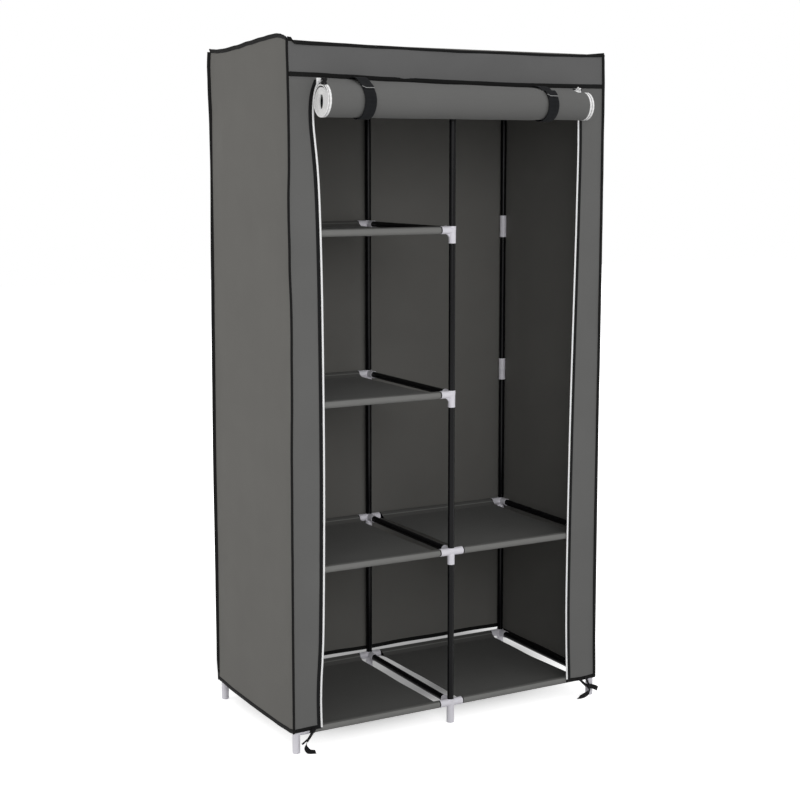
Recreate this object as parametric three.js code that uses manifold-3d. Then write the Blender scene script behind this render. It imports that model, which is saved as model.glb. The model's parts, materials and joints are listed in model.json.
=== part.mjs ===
// A portable fabric wardrobe: steel tubes pushed into plastic connectors, cloth shelves slung
// between the rails, and a zipped cloth cover whose door is rolled up under its header.
// Lengths are millimetres. +Z is up, the door faces -Y and +X runs to the right seen from it.

import * as THREE from 'three';
import { mergeVertices } from 'three/addons/utils/BufferGeometryUtils.js';
import Module from 'manifold-3d';

const wasm = await Module();
wasm.setup();

// Driving sizes of the cloth cover
const coverWidth = 883;
const coverDepth = 460;
const coverTop = 1680;
const clothThickness = 1.2;
const hemHeight = 54;
const backHemHeight = 67;
const headerDrop = 82;
const leftStileWidth = 83;
const rightStileWidth = 93.5;
const leftZipBow = 25;
const rightZipBow = 19;

// Driving sizes of the tube frame
const tubeRadius = 8;
const tubeWall = 0.8;
const connectorWall = 1.2;
const armLength = 32;
const sleeveDrop = 34.5;
const railInsert = 12;
const socketFloor = 1.5;
const capThickness = 1.5;
const footSole = 10;
const gussetLeg = 8;
const gussetThickness = 4.5;
const couplingLength = 60;
const couplingDrop = 45;
const shelfEndGap = 3;
const rodHolderLength = 46;

// Heights of the rails, from the floor up
const bottomRailHeight = 52;
const lowerSpacing = 389.5;
const middleSpacing = 397.5;
const upperSpacing = 405;

// Driving sizes of the rolled door, its straps and its zips
const rollRadius = 40;
const rollPastLeftZip = 17.1;
const rollShortOfRightZip = 8.3;
const rollDrop = 11;
const rollStandOff = 8;
const rollSheet = 2.2;
const rollSheetGap = 0.7;
const rollTurns = 8;
const strapWidth = 30;
const strapThickness = 1.6;
const strapSlack = 0.4;
const leftStrapInset = 105.3;
const rightStrapInset = 127.3;
const stripEndGap = 2;
const pullPinDrop = 6;
const sliderDrop = 2;
const sliderWidth = 12;
const sliderHeight = 14;
const sliderThickness = 4;
const earThickness = 1.5;
const earRim = 0.7;
const pinRadius = 0.8;
const eyeWall = 0.8;
const eyeWidth = 4;
const pullLength = 18;
const pullNeck = 3.5;
const pullWidth = 9;
const pullThickness = 1.2;
const pullRim = 2.2;
const tieWidth = 9;
const tieThickness = 1.6;
const leftTieInset = 45.5;
const rightTieInset = 29.5;

// Fits between pieces, and how far a cut runs past what it cuts
const fittingGap = 0.3;
const overrun = 2;

// Counts
const roundSides = 12;
const rollStepsPerTurn = 18;
const strapArcSteps = 20;
const zipEdgeSteps = 24;

// Places that follow from the driving sizes
const boreRadius = tubeRadius + fittingGap;
const connectorRadius = boreRadius + connectorWall;
const hemRadius = boreRadius + clothThickness;
const frameRadius = Math.max(connectorRadius, hemRadius);
const coverClearance = clothThickness + fittingGap + frameRadius;
const postX = coverWidth / 2 - coverClearance;
const postY = coverDepth / 2 - coverClearance;
const wallTop = coverTop - clothThickness - fittingGap;
const headerBottom = coverTop - headerDrop;
const frontFace = -coverDepth / 2;
const shelfInset = armLength + shelfEndGap;
const stileOuterX = coverWidth / 2 - clothThickness - fittingGap;
const rollPitch = rollSheet + rollSheetGap;
const pinBoreRadius = pinRadius + fittingGap;
const eyeRadius = pinBoreRadius + eyeWall;

const bottomLevel = bottomRailHeight;
const secondLevel = bottomLevel + lowerSpacing;
const thirdLevel = secondLevel + middleSpacing;
const fourthLevel = thirdLevel + upperSpacing;
const topLevel = wallTop - connectorRadius;

const columnX = { left: -postX, middle: 0, right: postX };
const wide = ['left', 'middle', 'right'];
const narrow = ['left', 'middle'];
const levels = [
  { name: 'bottom', height: bottomLevel, columns: wide, shelves: ['left', 'right'] },
  { name: 'second', height: secondLevel, columns: wide, shelves: ['left', 'right'] },
  { name: 'third', height: thirdLevel, columns: narrow, shelves: ['left'] },
  { name: 'fourth', height: fourthLevel, columns: narrow, shelves: ['left'] },
  { name: 'top', height: topLevel, columns: wide, shelves: [] },
];
const rows = [
  { name: 'front', y: -postY, inward: 1 },
  { name: 'rear', y: postY, inward: -1 },
];
const bays = { left: ['left', 'middle'], right: ['middle', 'right'] };

// How far the zip edge bows out of the opening's straight side, from the hem up to the header.
// Each entry is a share of the height and a share of the bow.
const leftZipShares = [
  [0, 0.5], [0.04, 0.57], [0.083, 0.5], [0.14, 0.3], [0.28, 0.16], [0.45, 0.11], [0.68, 0.22],
  [0.82, 0.43], [0.88, 0.66], [0.93, 0.98], [0.962, 1], [0.983, 0.8], [1, 0.396],
];
const rightZipShares = [
  [0, 0.28], [0.14, 0], [0.44, 0.24], [0.73, 0.77], [0.81, 0.89], [0.91, 1], [1, 0.83],
];

// Each zip's line where it meets the header, the rolled door's ends and its axis
const leftOpening = stileOuterX - leftStileWidth;
const rightOpening = stileOuterX - rightStileWidth;
const leftZipX = -leftOpening - leftZipBow * leftZipShares.at(-1)[1];
const rightZipX = rightOpening + rightZipBow * rightZipShares.at(-1)[1];
const rollLeft = leftZipX - rollPastLeftZip;
const rollRight = rightZipX - rollShortOfRightZip;
const rollY = frontFace - rollStandOff - rollRadius;
const rollZ = headerBottom - rollDrop - rollRadius;

// Colours of the real pieces
const colours = {
  cover: 0x65645f,
  shelf: 0x4b4a47,
  steel: 0x17171a,
  plastic: 0xd7d5de,
  webbing: 0x1c1c1c,
  zip: 0xe6e6ea,
};

const wardrobe = new THREE.Group();

function finish(colour, roughness, metalness) {
  return new THREE.MeshStandardMaterial({ color: colour, roughness, metalness });
}

function addMesh(name, geometry, material, x = 0, y = 0, z = 0) {
  const mesh = new THREE.Mesh(geometry, material);
  mesh.name = name;
  mesh.position.set(x, y, z);
  wardrobe.add(mesh);
  return mesh;
}

// Turns a closed geometry into a solid that can be joined and cut
function solidOf(geometry) {
  const bare = geometry.clone();
  bare.deleteAttribute('normal');
  bare.deleteAttribute('uv');
  const merged = mergeVertices(bare);
  return new wasm.Manifold(new wasm.Mesh({
    numProp: 3,
    vertProperties: new Float32Array(merged.attributes.position.array),
    triVerts: Uint32Array.from(merged.index.array),
  }));
}

function geometryOf(solid) {
  const mesh = solid.getMesh();
  const geometry = new THREE.BufferGeometry();
  geometry.setAttribute('position', new THREE.BufferAttribute(mesh.vertProperties, 3));
  geometry.setIndex(new THREE.BufferAttribute(mesh.triVerts, 1));
  geometry.computeVertexNormals();
  return geometry;
}

function join(solids) {
  return solids.reduce((whole, next) => whole.add(next));
}

function cut(solid, cutters) {
  return cutters.reduce((left, cutter) => left.subtract(cutter), solid);
}

function block(width, depth, height, x, y, z) {
  return solidOf(new THREE.BoxGeometry(width, depth, height).translate(x, y, z));
}

// A round bar between two places on one axis, with the other two coordinates given
function barAlongX(radius, from, to, y, z) {
  const geometry = new THREE.CylinderGeometry(radius, radius, to - from, roundSides);
  return solidOf(geometry.rotateZ(Math.PI / 2).translate((from + to) / 2, y, z));
}

function barAlongY(radius, from, to, x, z) {
  const geometry = new THREE.CylinderGeometry(radius, radius, to - from, roundSides);
  return solidOf(geometry.translate(x, (from + to) / 2, z));
}

function barAlongZ(radius, from, to, x, y) {
  const geometry = new THREE.CylinderGeometry(radius, radius, to - from, roundSides);
  return solidOf(geometry.rotateX(Math.PI / 2).translate(x, y, (from + to) / 2));
}

// A pipe centred on its own Y axis
function pipe(innerRadius, outerRadius, length) {
  const profile = [
    new THREE.Vector2(innerRadius, -length / 2),
    new THREE.Vector2(outerRadius, -length / 2),
    new THREE.Vector2(outerRadius, length / 2),
    new THREE.Vector2(innerRadius, length / 2),
    new THREE.Vector2(innerRadius, -length / 2),
  ];
  return new THREE.LatheGeometry(profile, roundSides);
}

// Lays a section drawn in (y, z) along X, centred on the middle of its width
function alongX(shape, width) {
  const geometry = new THREE.ExtrudeGeometry(shape, {
    depth: width, bevelEnabled: false, curveSegments: 1,
  });
  const turn = new THREE.Matrix4().makeBasis(
    new THREE.Vector3(0, 1, 0), new THREE.Vector3(0, 0, 1), new THREE.Vector3(1, 0, 0),
  );
  return geometry.translate(0, 0, -width / 2).applyMatrix4(turn);
}

// Lays a section drawn in (x, z) along Y, centred on the middle of its thickness
function alongY(shape, thickness) {
  const geometry = new THREE.ExtrudeGeometry(shape, { depth: thickness, bevelEnabled: false });
  return geometry.translate(0, 0, -thickness / 2).rotateX(Math.PI / 2);
}

const steel = finish(colours.steel, 0.35, 0.6);
const plastic = finish(colours.plastic, 0.45, 0);
const coverCloth = finish(colours.cover, 0.95, 0);
const shelfCloth = finish(colours.shelf, 0.95, 0);
const webbing = finish(colours.webbing, 0.9, 0);
const zipPlastic = finish(colours.zip, 0.4, 0.1);

// Upright posts, each a run of tubes from its foot to the cap at the top
function addPosts() {
  const bottom = footSole + fittingGap;
  const top = topLevel + connectorRadius - capThickness - fittingGap;
  const length = top - bottom;
  for (const row of rows) {
    for (const column of wide) {
      const geometry = pipe(tubeRadius - tubeWall, tubeRadius, length).rotateX(Math.PI / 2);
      addMesh(`post_${row.name}_${column}`, geometry, steel, columnX[column], row.y, bottom + length / 2);
    }
  }
}

// The 45 degree web under an arm, against the sleeve below it
function gusset(x, side) {
  const corner = boreRadius;
  const reach = connectorRadius + gussetLeg;
  const shape = new THREE.Shape([
    new THREE.Vector2(side * corner, -corner),
    new THREE.Vector2(side * reach, -corner),
    new THREE.Vector2(side * corner, -reach),
  ]);
  return solidOf(alongY(shape, gussetThickness).translate(x, 0, 0));
}

// One row of push-on connectors with the cross rails that run in the shelf hems between them
function addConnectorRow(row, level) {
  const isBottom = level.name === 'bottom';
  const isTop = level.name === 'top';
  const sleeveFoot = isBottom ? -level.height : -sleeveDrop;
  const boreFoot = isBottom ? footSole - level.height : sleeveFoot - overrun;
  const boreTop = isTop ? connectorRadius - capThickness : connectorRadius + overrun;
  const parts = [];
  const cutters = [];
  level.columns.forEach((column, index) => {
    const x = columnX[column];
    parts.push(barAlongZ(connectorRadius, sleeveFoot, connectorRadius, x, 0));
    const armFrom = index > 0 ? x - armLength : x;
    const armTo = index < level.columns.length - 1 ? x + armLength : x;
    parts.push(barAlongX(connectorRadius, armFrom, armTo, 0, 0));
    const sideArm = [0, row.inward * armLength].sort((a, b) => a - b);
    parts.push(barAlongY(connectorRadius, sideArm[0], sideArm[1], x, 0));
    if (!isBottom) {
      if (armFrom < x) parts.push(gusset(x, -1));
      if (armTo > x) parts.push(gusset(x, 1));
    }
    const socket = [
      row.inward * (boreRadius + socketFloor),
      row.inward * (armLength + overrun),
    ].sort((a, b) => a - b);
    cutters.push(barAlongZ(boreRadius, boreFoot, boreTop, x, 0));
    cutters.push(barAlongY(boreRadius, socket[0], socket[1], x, 0));
    if (index > 0) {
      const previous = columnX[level.columns[index - 1]];
      const from = previous + armLength - railInsert;
      const to = x - armLength + railInsert;
      parts.push(barAlongX(tubeRadius, from, to, 0, 0));
    }
  });
  const geometry = geometryOf(cut(join(parts), cutters));
  addMesh(`connector_row_${row.name}_${level.name}`, geometry, plastic, 0, row.y, level.height);
}

// Bare tubes from front to back, and the inline couplings where a post has no rail
function addSideRails() {
  const length = 2 * (postY - boreRadius - socketFloor - fittingGap);
  for (const level of levels) {
    for (const column of level.columns) {
      const geometry = pipe(tubeRadius - tubeWall, tubeRadius, length);
      addMesh(`side_rail_${column}_${level.name}`, geometry, steel, columnX[column], 0, level.height);
    }
  }
}

function addCouplings() {
  for (const row of rows) {
    for (const level of levels.filter((one) => !one.columns.includes('right'))) {
      const geometry = pipe(boreRadius, connectorRadius, couplingLength).rotateX(Math.PI / 2);
      const middle = level.height - couplingDrop + couplingLength / 2;
      addMesh(`coupling_${row.name}_right_${level.name}`, geometry, plastic, postX, row.y, middle);
    }
  }
}

// The hanging rod and the T pieces that carry it on the top side rails
function addHangingRod() {
  const socketStart = boreRadius + socketFloor;
  for (const [column, side] of [['middle', 1], ['right', -1]]) {
    const arm = [0, side * armLength].sort((a, b) => a - b);
    const socket = [side * socketStart, side * (armLength + overrun)].sort((a, b) => a - b);
    const body = join([
      barAlongY(connectorRadius, -rodHolderLength / 2, rodHolderLength / 2, 0, 0),
      barAlongX(connectorRadius, arm[0], arm[1], 0, 0),
    ]);
    const holder = cut(body, [
      barAlongY(boreRadius, -rodHolderLength / 2 - overrun, rodHolderLength / 2 + overrun, 0, 0),
      barAlongX(boreRadius, socket[0], socket[1], 0, 0),
    ]);
    addMesh(`rod_holder_${column}`, geometryOf(holder), plastic, columnX[column], 0, topLevel);
  }
  const length = postX - 2 * (socketStart + fittingGap);
  const rod = pipe(tubeRadius - tubeWall, tubeRadius, length).rotateZ(Math.PI / 2);
  addMesh('hanging_rod', rod, steel, postX / 2, 0, topLevel);
}

// A cloth shelf with a sleeve hem round its front rail and its back rail. The pull between the
// rails draws the cloth to the height of their middles.
function addShelf(level, bay) {
  const [from, to] = bays[bay].map((column) => columnX[column]);
  const width = to - from - 2 * shelfInset;
  const sheet = block(width, 2 * postY, clothThickness, 0, 0, 0);
  const hems = rows.map((row) => barAlongX(hemRadius, -width / 2, width / 2, row.y, 0));
  const bores = rows.map((row) => (
    barAlongX(boreRadius, -width / 2 - overrun, width / 2 + overrun, row.y, 0)
  ));
  const geometry = geometryOf(cut(join([sheet, ...hems]), bores));
  addMesh(`shelf_${bay}_${level.name}`, geometry, shelfCloth, (from + to) / 2, 0, level.height);
}

function panel(name, size, place) {
  addMesh(name, new THREE.BoxGeometry(...size), coverCloth, ...place);
}

// A front stile: straight at the corner and bowed along its zip
function addStile(name, side, opening, bow, shares) {
  const top = headerBottom - fittingGap;
  const height = top - hemHeight;
  const curve = new THREE.SplineCurve(shares.map(([up, out]) => (
    new THREE.Vector2(side * (opening + bow * out), hemHeight + height * up)
  )));
  const shape = new THREE.Shape([
    new THREE.Vector2(side * stileOuterX, hemHeight),
    ...curve.getPoints(zipEdgeSteps),
    new THREE.Vector2(side * stileOuterX, top),
  ]);
  addMesh(name, alongY(shape, clothThickness), coverCloth, 0, frontFace + clothThickness / 2, 0);
}

function addCover() {
  const wallHeight = wallTop - hemHeight;
  const innerWidth = 2 * stileOuterX;
  const sideX = (coverWidth - clothThickness) / 2;
  const faceY = (coverDepth - clothThickness) / 2;
  const backHeight = wallTop - backHemHeight;
  const headerHeight = wallTop - headerBottom;
  const roofZ = coverTop - clothThickness / 2;
  const wallZ = hemHeight + wallHeight / 2;
  const backZ = backHemHeight + backHeight / 2;
  panel('cover_roof', [coverWidth, coverDepth, clothThickness], [0, 0, roofZ]);
  panel('cover_left_side', [clothThickness, coverDepth, wallHeight], [-sideX, 0, wallZ]);
  panel('cover_right_side', [clothThickness, coverDepth, wallHeight], [sideX, 0, wallZ]);
  panel('cover_back', [innerWidth, clothThickness, backHeight], [0, faceY, backZ]);
  const headerZ = headerBottom + headerHeight / 2;
  panel('cover_header', [innerWidth, clothThickness, headerHeight], [0, -faceY, headerZ]);
  addStile('cover_left_stile', -1, leftOpening, leftZipBow, leftZipShares);
  addStile('cover_right_stile', 1, rightOpening, rightZipBow, rightZipShares);
}

// The straps are sewn in at the header's edge. Seen from the roll's axis, the seam lies at this
// distance and angle.
const seamY = frontFace - strapThickness / 2;
const seamZ = headerBottom - 2 * fittingGap;
const seamDistance = Math.hypot(seamY - rollY, seamZ - rollZ);
const seamAngle = Math.atan2(seamZ - rollZ, seamY - rollY);
const strapInnerRadius = rollRadius + strapSlack;
const strapOuterRadius = strapInnerRadius + strapThickness;

// Half the angle between the two lines that run from the seam to touch the roll
const touchAngle = Math.acos(strapOuterRadius / seamDistance);

function onRoll(radius, angle) {
  return new THREE.Vector2(radius * Math.cos(angle), radius * Math.sin(angle));
}

// The rolled-up door: one sheet wound from the line where it leaves the seam down to its core
function addRolledDoor() {
  const start = seamAngle + touchAngle;
  const steps = rollTurns * rollStepsPerTurn;
  const outside = [];
  const inside = [];
  for (let step = 0; step <= steps; step += 1) {
    const turns = step / rollStepsPerTurn;
    const angle = start + turns * 2 * Math.PI;
    const radius = rollRadius - rollPitch * turns;
    outside.push(onRoll(radius, angle));
    inside.push(onRoll(radius - rollSheet, angle));
  }
  const shape = new THREE.Shape([...outside, ...inside.reverse()]);
  const flat = Math.cos(Math.PI / rollStepsPerTurn);
  const leastGap = rollPitch * flat - rollSheet;
  console.log(`rolled door: least gap between turns ${leastGap.toFixed(2)} mm`);
  const geometry = alongX(shape, rollRight - rollLeft);
  addMesh('rolled_door', geometry, coverCloth, (rollLeft + rollRight) / 2, rollY, rollZ);
}

// The strip of door between the header's seam and the roll
function addDoorStrip() {
  const from = leftZipX + sliderWidth / 2 + 2 * fittingGap;
  const to = rightZipX - sliderWidth / 2 - 2 * fittingGap;
  const touch = seamAngle + touchAngle;
  const along = new THREE.Vector2(Math.sin(touch), -Math.cos(touch));
  const reach = seamDistance * Math.sin(touchAngle) - strapThickness - stripEndGap;
  const corner = (radius, distance) => onRoll(radius, touch).addScaledVector(along, distance);
  const inner = rollRadius - clothThickness;
  const shape = new THREE.Shape([
    corner(rollRadius, fittingGap),
    corner(inner, fittingGap),
    corner(inner, reach),
    corner(rollRadius, reach),
  ]);
  addMesh('door_strip', alongX(shape, to - from), coverCloth, (from + to) / 2, rollY, rollZ);
}

// The outline of a strap: an arc round the roll, closed by two straight lines to the seam
function strapOutline(radius) {
  const points = [onRoll(seamDistance * (radius / strapOuterRadius), seamAngle)];
  const sweep = 2 * Math.PI - 2 * touchAngle;
  for (let step = 0; step <= strapArcSteps; step += 1) {
    points.push(onRoll(radius, seamAngle + touchAngle + sweep * (step / strapArcSteps)));
  }
  return points;
}

function addStraps() {
  const flat = Math.cos(Math.PI / strapArcSteps);
  const places = { left: rollLeft + leftStrapInset, right: rollRight - rightStrapInset };
  for (const [side, x] of Object.entries(places)) {
    const shape = new THREE.Shape(strapOutline(strapOuterRadius / flat));
    shape.holes.push(new THREE.Path(strapOutline(strapInnerRadius / flat)));
    addMesh(`door_strap_${side}`, alongX(shape, strapWidth), webbing, x, rollY, rollZ);
  }
}

// A zip slider with two ears and a pin, and the pull that hangs from the pin
function addZip(side, x) {
  const pivotY = frontFace - fittingGap - sliderThickness - eyeRadius;
  const pivotZ = headerBottom - pullPinDrop;
  const bodyY = eyeRadius + sliderThickness / 2;
  const bodyZ = pullPinDrop - sliderDrop - sliderHeight / 2;
  const earFront = pinRadius + earRim;
  const earDepth = bodyY + earFront;
  const earX = eyeWidth / 2 + fittingGap + earThickness / 2;
  const slider = join([
    block(sliderWidth, sliderThickness, sliderHeight, 0, bodyY, bodyZ),
    block(earThickness, earDepth, 2 * earFront, -earX, bodyY - earDepth / 2, 0),
    block(earThickness, earDepth, 2 * earFront, earX, bodyY - earDepth / 2, 0),
    barAlongX(pinRadius, -earX, earX, 0, 0),
  ]);
  addMesh(`zip_slider_${side}`, geometryOf(slider), zipPlastic, x, pivotY, pivotZ);

  const neckLength = pullNeck + pullRim;
  const tabHeight = pullLength - pullNeck;
  const tabZ = -pullNeck - tabHeight / 2;
  const pull = join([
    barAlongX(eyeRadius, -eyeWidth / 2, eyeWidth / 2, 0, 0),
    block(eyeWidth, pullThickness, neckLength, 0, 0, -neckLength / 2),
    block(pullWidth, pullThickness, tabHeight, 0, 0, tabZ),
  ]);
  const holeWidth = pullWidth - 2 * pullRim;
  const holeHeight = tabHeight - 2 * pullRim;
  const holed = cut(pull, [
    barAlongX(pinBoreRadius, -eyeWidth / 2 - overrun, eyeWidth / 2 + overrun, 0, 0),
    block(holeWidth, pullThickness + overrun, holeHeight, 0, 0, tabZ),
  ]);
  addMesh(`zip_pull_${side}`, geometryOf(holed), zipPlastic, x, pivotY, pivotZ);
}

// A tie ribbon sewn to the front hem, as flat lengths between points given as shares of its
// drop and of its spread
function addTie(name, x, shares) {
  const top = hemHeight + tieWidth / 2;
  const drop = top - tieWidth / 2 - fittingGap;
  const place = ([across, down]) => new THREE.Vector2(across * hemHeight, top - down * drop);
  const lengths = shares.map(([start, end]) => {
    const a = place(start);
    const b = place(end);
    const run = b.clone().sub(a);
    const geometry = new THREE.BoxGeometry(run.length() + tieWidth / 2, tieThickness, tieWidth);
    return solidOf(geometry.rotateY(-run.angle()).translate((a.x + b.x) / 2, 0, (a.y + b.y) / 2));
  });
  const y = frontFace - fittingGap - tieThickness / 2;
  addMesh(name, geometryOf(join(lengths)), webbing, x, y, 0);
}

const leftTieX = leftTieInset - coverWidth / 2;
const rightTieX = coverWidth / 2 - rightTieInset;
const leftTieShares = [
  [[0, 0], [-0.31, 0.56]],
  [[-0.31, 0.56], [-0.5, 0.58]],
  [[-0.31, 0.56], [-0.39, 0.86]],
  [[-0.39, 0.86], [-0.06, 0.97]],
  [[-0.06, 0.97], [0.13, 0.98]],
];
const rightTieShares = [
  [[0, 0], [0, 0.46]],
  [[0, 0.46], [0.4, 0.72]],
  [[0, 0.46], [-0.3, 0.7]],
  [[-0.3, 0.7], [-0.74, 0.96]],
];

addPosts();
for (const level of levels) {
  for (const row of rows) {
    addConnectorRow(row, level);
  }
  for (const bay of level.shelves) {
    addShelf(level, bay);
  }
}
addSideRails();
addCouplings();
addHangingRod();
addCover();
addRolledDoor();
addDoorStrip();
addStraps();
addZip('left', leftZipX);
addZip('right', rightZipX);
addTie('tie_left', leftTieX, leftTieShares);
addTie('tie_right', rightTieX, rightTieShares);

// The origin is on the floor below the middle of the whole outline, roll included
const outline = new THREE.Box3().setFromObject(wardrobe);
wardrobe.position.y = -(outline.min.y + outline.max.y) / 2;

export default wardrobe;
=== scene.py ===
# %% [markdown]
# # A portable fabric wardrobe
# Steel tubes pushed into white plastic connectors carry a cloth cover and cloth shelves. The door is
# rolled up and strapped under the header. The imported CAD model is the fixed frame: it says where every
# piece is, and this lesson dresses each one in its real form and finish.

# %% Load the frame
import json
import math

import bmesh
import bpy
from mathutils import Matrix, Vector, noise


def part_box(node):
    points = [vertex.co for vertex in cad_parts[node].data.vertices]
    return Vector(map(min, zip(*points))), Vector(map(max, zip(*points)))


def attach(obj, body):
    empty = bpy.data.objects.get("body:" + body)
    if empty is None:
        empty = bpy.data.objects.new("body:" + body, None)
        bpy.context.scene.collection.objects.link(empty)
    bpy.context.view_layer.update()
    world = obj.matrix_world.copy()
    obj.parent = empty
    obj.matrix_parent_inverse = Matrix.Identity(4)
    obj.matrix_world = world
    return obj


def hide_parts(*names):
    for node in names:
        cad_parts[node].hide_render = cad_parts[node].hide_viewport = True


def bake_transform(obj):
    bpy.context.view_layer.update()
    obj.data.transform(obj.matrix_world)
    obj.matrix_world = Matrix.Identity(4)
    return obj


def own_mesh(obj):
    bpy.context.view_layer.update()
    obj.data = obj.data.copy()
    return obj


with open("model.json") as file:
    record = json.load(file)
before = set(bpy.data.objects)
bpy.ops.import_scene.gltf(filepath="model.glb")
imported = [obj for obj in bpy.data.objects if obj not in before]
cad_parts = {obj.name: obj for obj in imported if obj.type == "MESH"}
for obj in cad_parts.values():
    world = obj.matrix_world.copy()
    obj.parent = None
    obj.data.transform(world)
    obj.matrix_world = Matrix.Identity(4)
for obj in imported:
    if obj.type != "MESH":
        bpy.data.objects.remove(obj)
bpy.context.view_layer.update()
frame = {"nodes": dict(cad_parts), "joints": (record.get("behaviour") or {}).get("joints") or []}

mm = 0.001
scene = bpy.context.scene

# %% [markdown]
# The camera stands to the left of the wardrobe, at chest height, and looks slightly down. A long lens
# keeps the uprights nearly parallel. The small shift lifts the frame without tilting them more.

# %% Camera
camera_turn = math.radians(-29.097)
camera_pitch = math.radians(-6.673)
photo_camera = bpy.data.cameras.new("photo_camera")
photo_camera.sensor_width = 36
photo_camera.lens = 69.91
photo_camera.shift_y = -0.07
camera_stand = bpy.data.objects.new("photo_camera", photo_camera)
scene.collection.objects.link(camera_stand)
camera_stand.location = (-1.9587, -3.4313, 1.4082)
camera_stand.rotation_euler = (math.pi / 2 + camera_pitch, 0, camera_turn)
scene.camera = camera_stand
print(f"camera with a {photo_camera.lens:.1f} mm lens at {tuple(camera_stand.location)}")

# %% [markdown]
# Colours are written as they look on a screen. Blender computes with linear light, so they are
# converted once, here.

# %% Colours and small node helpers


def screen_colour(red, green, blue):
    """A colour in screen values from 0 to 255, as linear light."""
    made = []
    for value in (red, green, blue):
        share = value / 255
        made.append(share / 12.92 if share <= 0.04045 else ((share + 0.055) / 1.055) ** 2.4)
    return tuple(made)


def lighter(colour, factor):
    return tuple(channel * factor for channel in colour)


def add_node(tree, kind, values=(), **settings):
    """A shader node with its settings, and with values on its sockets."""
    made = tree.nodes.new("ShaderNode" + kind)
    for name, setting in settings.items():
        setattr(made, name, setting)
    for socket, value in dict(values).items():
        made.inputs[socket].default_value = value
    return made


def wire(tree, source, output, target, socket):
    tree.links.new(source.outputs[output], target.inputs[socket])


print("cloth colour in linear light:", [round(c, 3) for c in screen_colour(102, 101, 98)])

# %% [markdown]
# A plain studio: an even white world lights everything a little. A large soft lamp stands in front, to
# the left and only a little higher than the wardrobe, so the shelves' tops stay darker than their
# hems, and another lights the left side. The camera sees the world and the far floor as plain white.
# That white is only for the camera and for reflections, so it adds no light to the wardrobe.

# %% One shader to look at, another to give light


def split_rays(tree, lighting, seen, output):
    """Gives one shader to the light that bounces, and the other to the camera and to reflections."""
    ray = add_node(tree, "LightPath")
    seen_or_mirrored = add_node(tree, "Math", operation="MAXIMUM")
    seen_at_all = add_node(tree, "Math", operation="MAXIMUM")
    choice = add_node(tree, "MixShader")
    out = add_node(tree, output)
    wire(tree, ray, "Is Camera Ray", seen_or_mirrored, 0)
    wire(tree, ray, "Is Glossy Ray", seen_or_mirrored, 1)
    wire(tree, seen_or_mirrored, 0, seen_at_all, 0)
    wire(tree, ray, "Is Transmission Ray", seen_at_all, 1)
    wire(tree, seen_at_all, 0, choice, 0)
    wire(tree, lighting, 0, choice, 1)
    wire(tree, seen, 0, choice, 2)
    wire(tree, choice, 0, out, 0)


print("ray helper ready")

# %% World
scene.view_settings.view_transform = "Standard"
world = bpy.data.worlds.new("studio")
scene.world = world
world.use_nodes = True
sky = world.node_tree
sky.nodes.clear()
studio_light = add_node(sky, "Background", {"Color": (1, 1, 1, 1), "Strength": 0.7})
white_wall = add_node(sky, "Background", {"Color": (1, 1, 1, 1), "Strength": 1.0})
split_rays(sky, studio_light, white_wall, "OutputWorld")
print("world light strength", studio_light.inputs["Strength"].default_value)

# %% Lamps


def soft_lamp(name, place, target, size, power, tint=(1, 1, 1)):
    lamp = bpy.data.lights.new(name, "AREA")
    lamp.color = tint
    lamp.shape = "SQUARE"
    lamp.size = size
    lamp.energy = power
    stand = bpy.data.objects.new(name, lamp)
    scene.collection.objects.link(stand)
    stand.location = place
    aim = Vector(target) - Vector(place)
    stand.rotation_euler = aim.to_track_quat("-Z", "Y").to_euler()
    return stand


key_lamp = soft_lamp("key_lamp", (-1.3, -4.7, 2.15), (0, 0, 0.9), 2.4, 59)
side_lamp = soft_lamp("side_lamp", (-5.0, 1.2, 2.0), (0, 0, 0.9), 2.6, 44, (1, 0.98, 0.94))
print("lamps:", key_lamp.name, side_lamp.name)

# %% [markdown]
# The floor is a wide pale plane. For the camera it glows a little, so that far off it is white. Below
# the wardrobe the glow is dimmed as a painted shadow, and softly behind it a painted shadow dims both
# glow and paint, so that a grey shows through the gaps at the lowest shelf. The light that bounces off
# the floor comes from a plain paint without any glow.

# %% Floor
floor_half_width = 14
floor_mesh = bpy.data.meshes.new("floor")
floor_build = bmesh.new()
bmesh.ops.create_grid(floor_build, x_segments=2, y_segments=2, size=floor_half_width)
floor_build.to_mesh(floor_mesh)
floor_build.free()
floor = bpy.data.objects.new("floor", floor_mesh)
scene.collection.objects.link(floor)
print("floor", floor.dimensions.x, "m wide")

# %% Rectangles of the floor with soft edges


def share_inside(tree, place, low, high, soft):
    """1 well inside a rectangle of the floor, 0 outside it, and a soft change between."""
    from_middle = add_node(tree, "VectorMath", operation="SUBTRACT")
    from_middle.inputs[1].default_value = ((low[0] + high[0]) / 2, (low[1] + high[1]) / 2, 0)
    either_way = add_node(tree, "VectorMath", operation="ABSOLUTE")
    parts = add_node(tree, "SeparateXYZ")
    share = add_node(tree, "Math", operation="MULTIPLY")
    wire(tree, place, "Object", from_middle, 0)
    wire(tree, from_middle, 0, either_way, 0)
    wire(tree, either_way, 0, parts, 0)
    for axis in (0, 1):
        half = (high[axis] - low[axis]) / 2
        fade = add_node(tree, "MapRange", {"From Min": half - soft, "From Max": half,
                                           "To Min": 1, "To Max": 0}, interpolation_type="SMOOTHSTEP")
        wire(tree, parts, axis, fade, "Value")
        wire(tree, fade, 0, share, axis)
    return share


print("floor helper ready")

# %% The floor's finish
floor_grey = 0.9
bounced_grey = 0.64
near_glow = 0.74
# The glow left under the wardrobe: a painted shadow.
glow_under_painted_shadow = 0.2
added_far_off = 0.3
near, far = 0.5, 1.7
# How much of the floor's glow and paint is left behind the wardrobe: a painted shadow.
light_left_in_painted_shadow_behind = 0.3
painted_shadow_soft_below = 0.21
painted_shadow_soft_behind = 0.34

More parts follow.
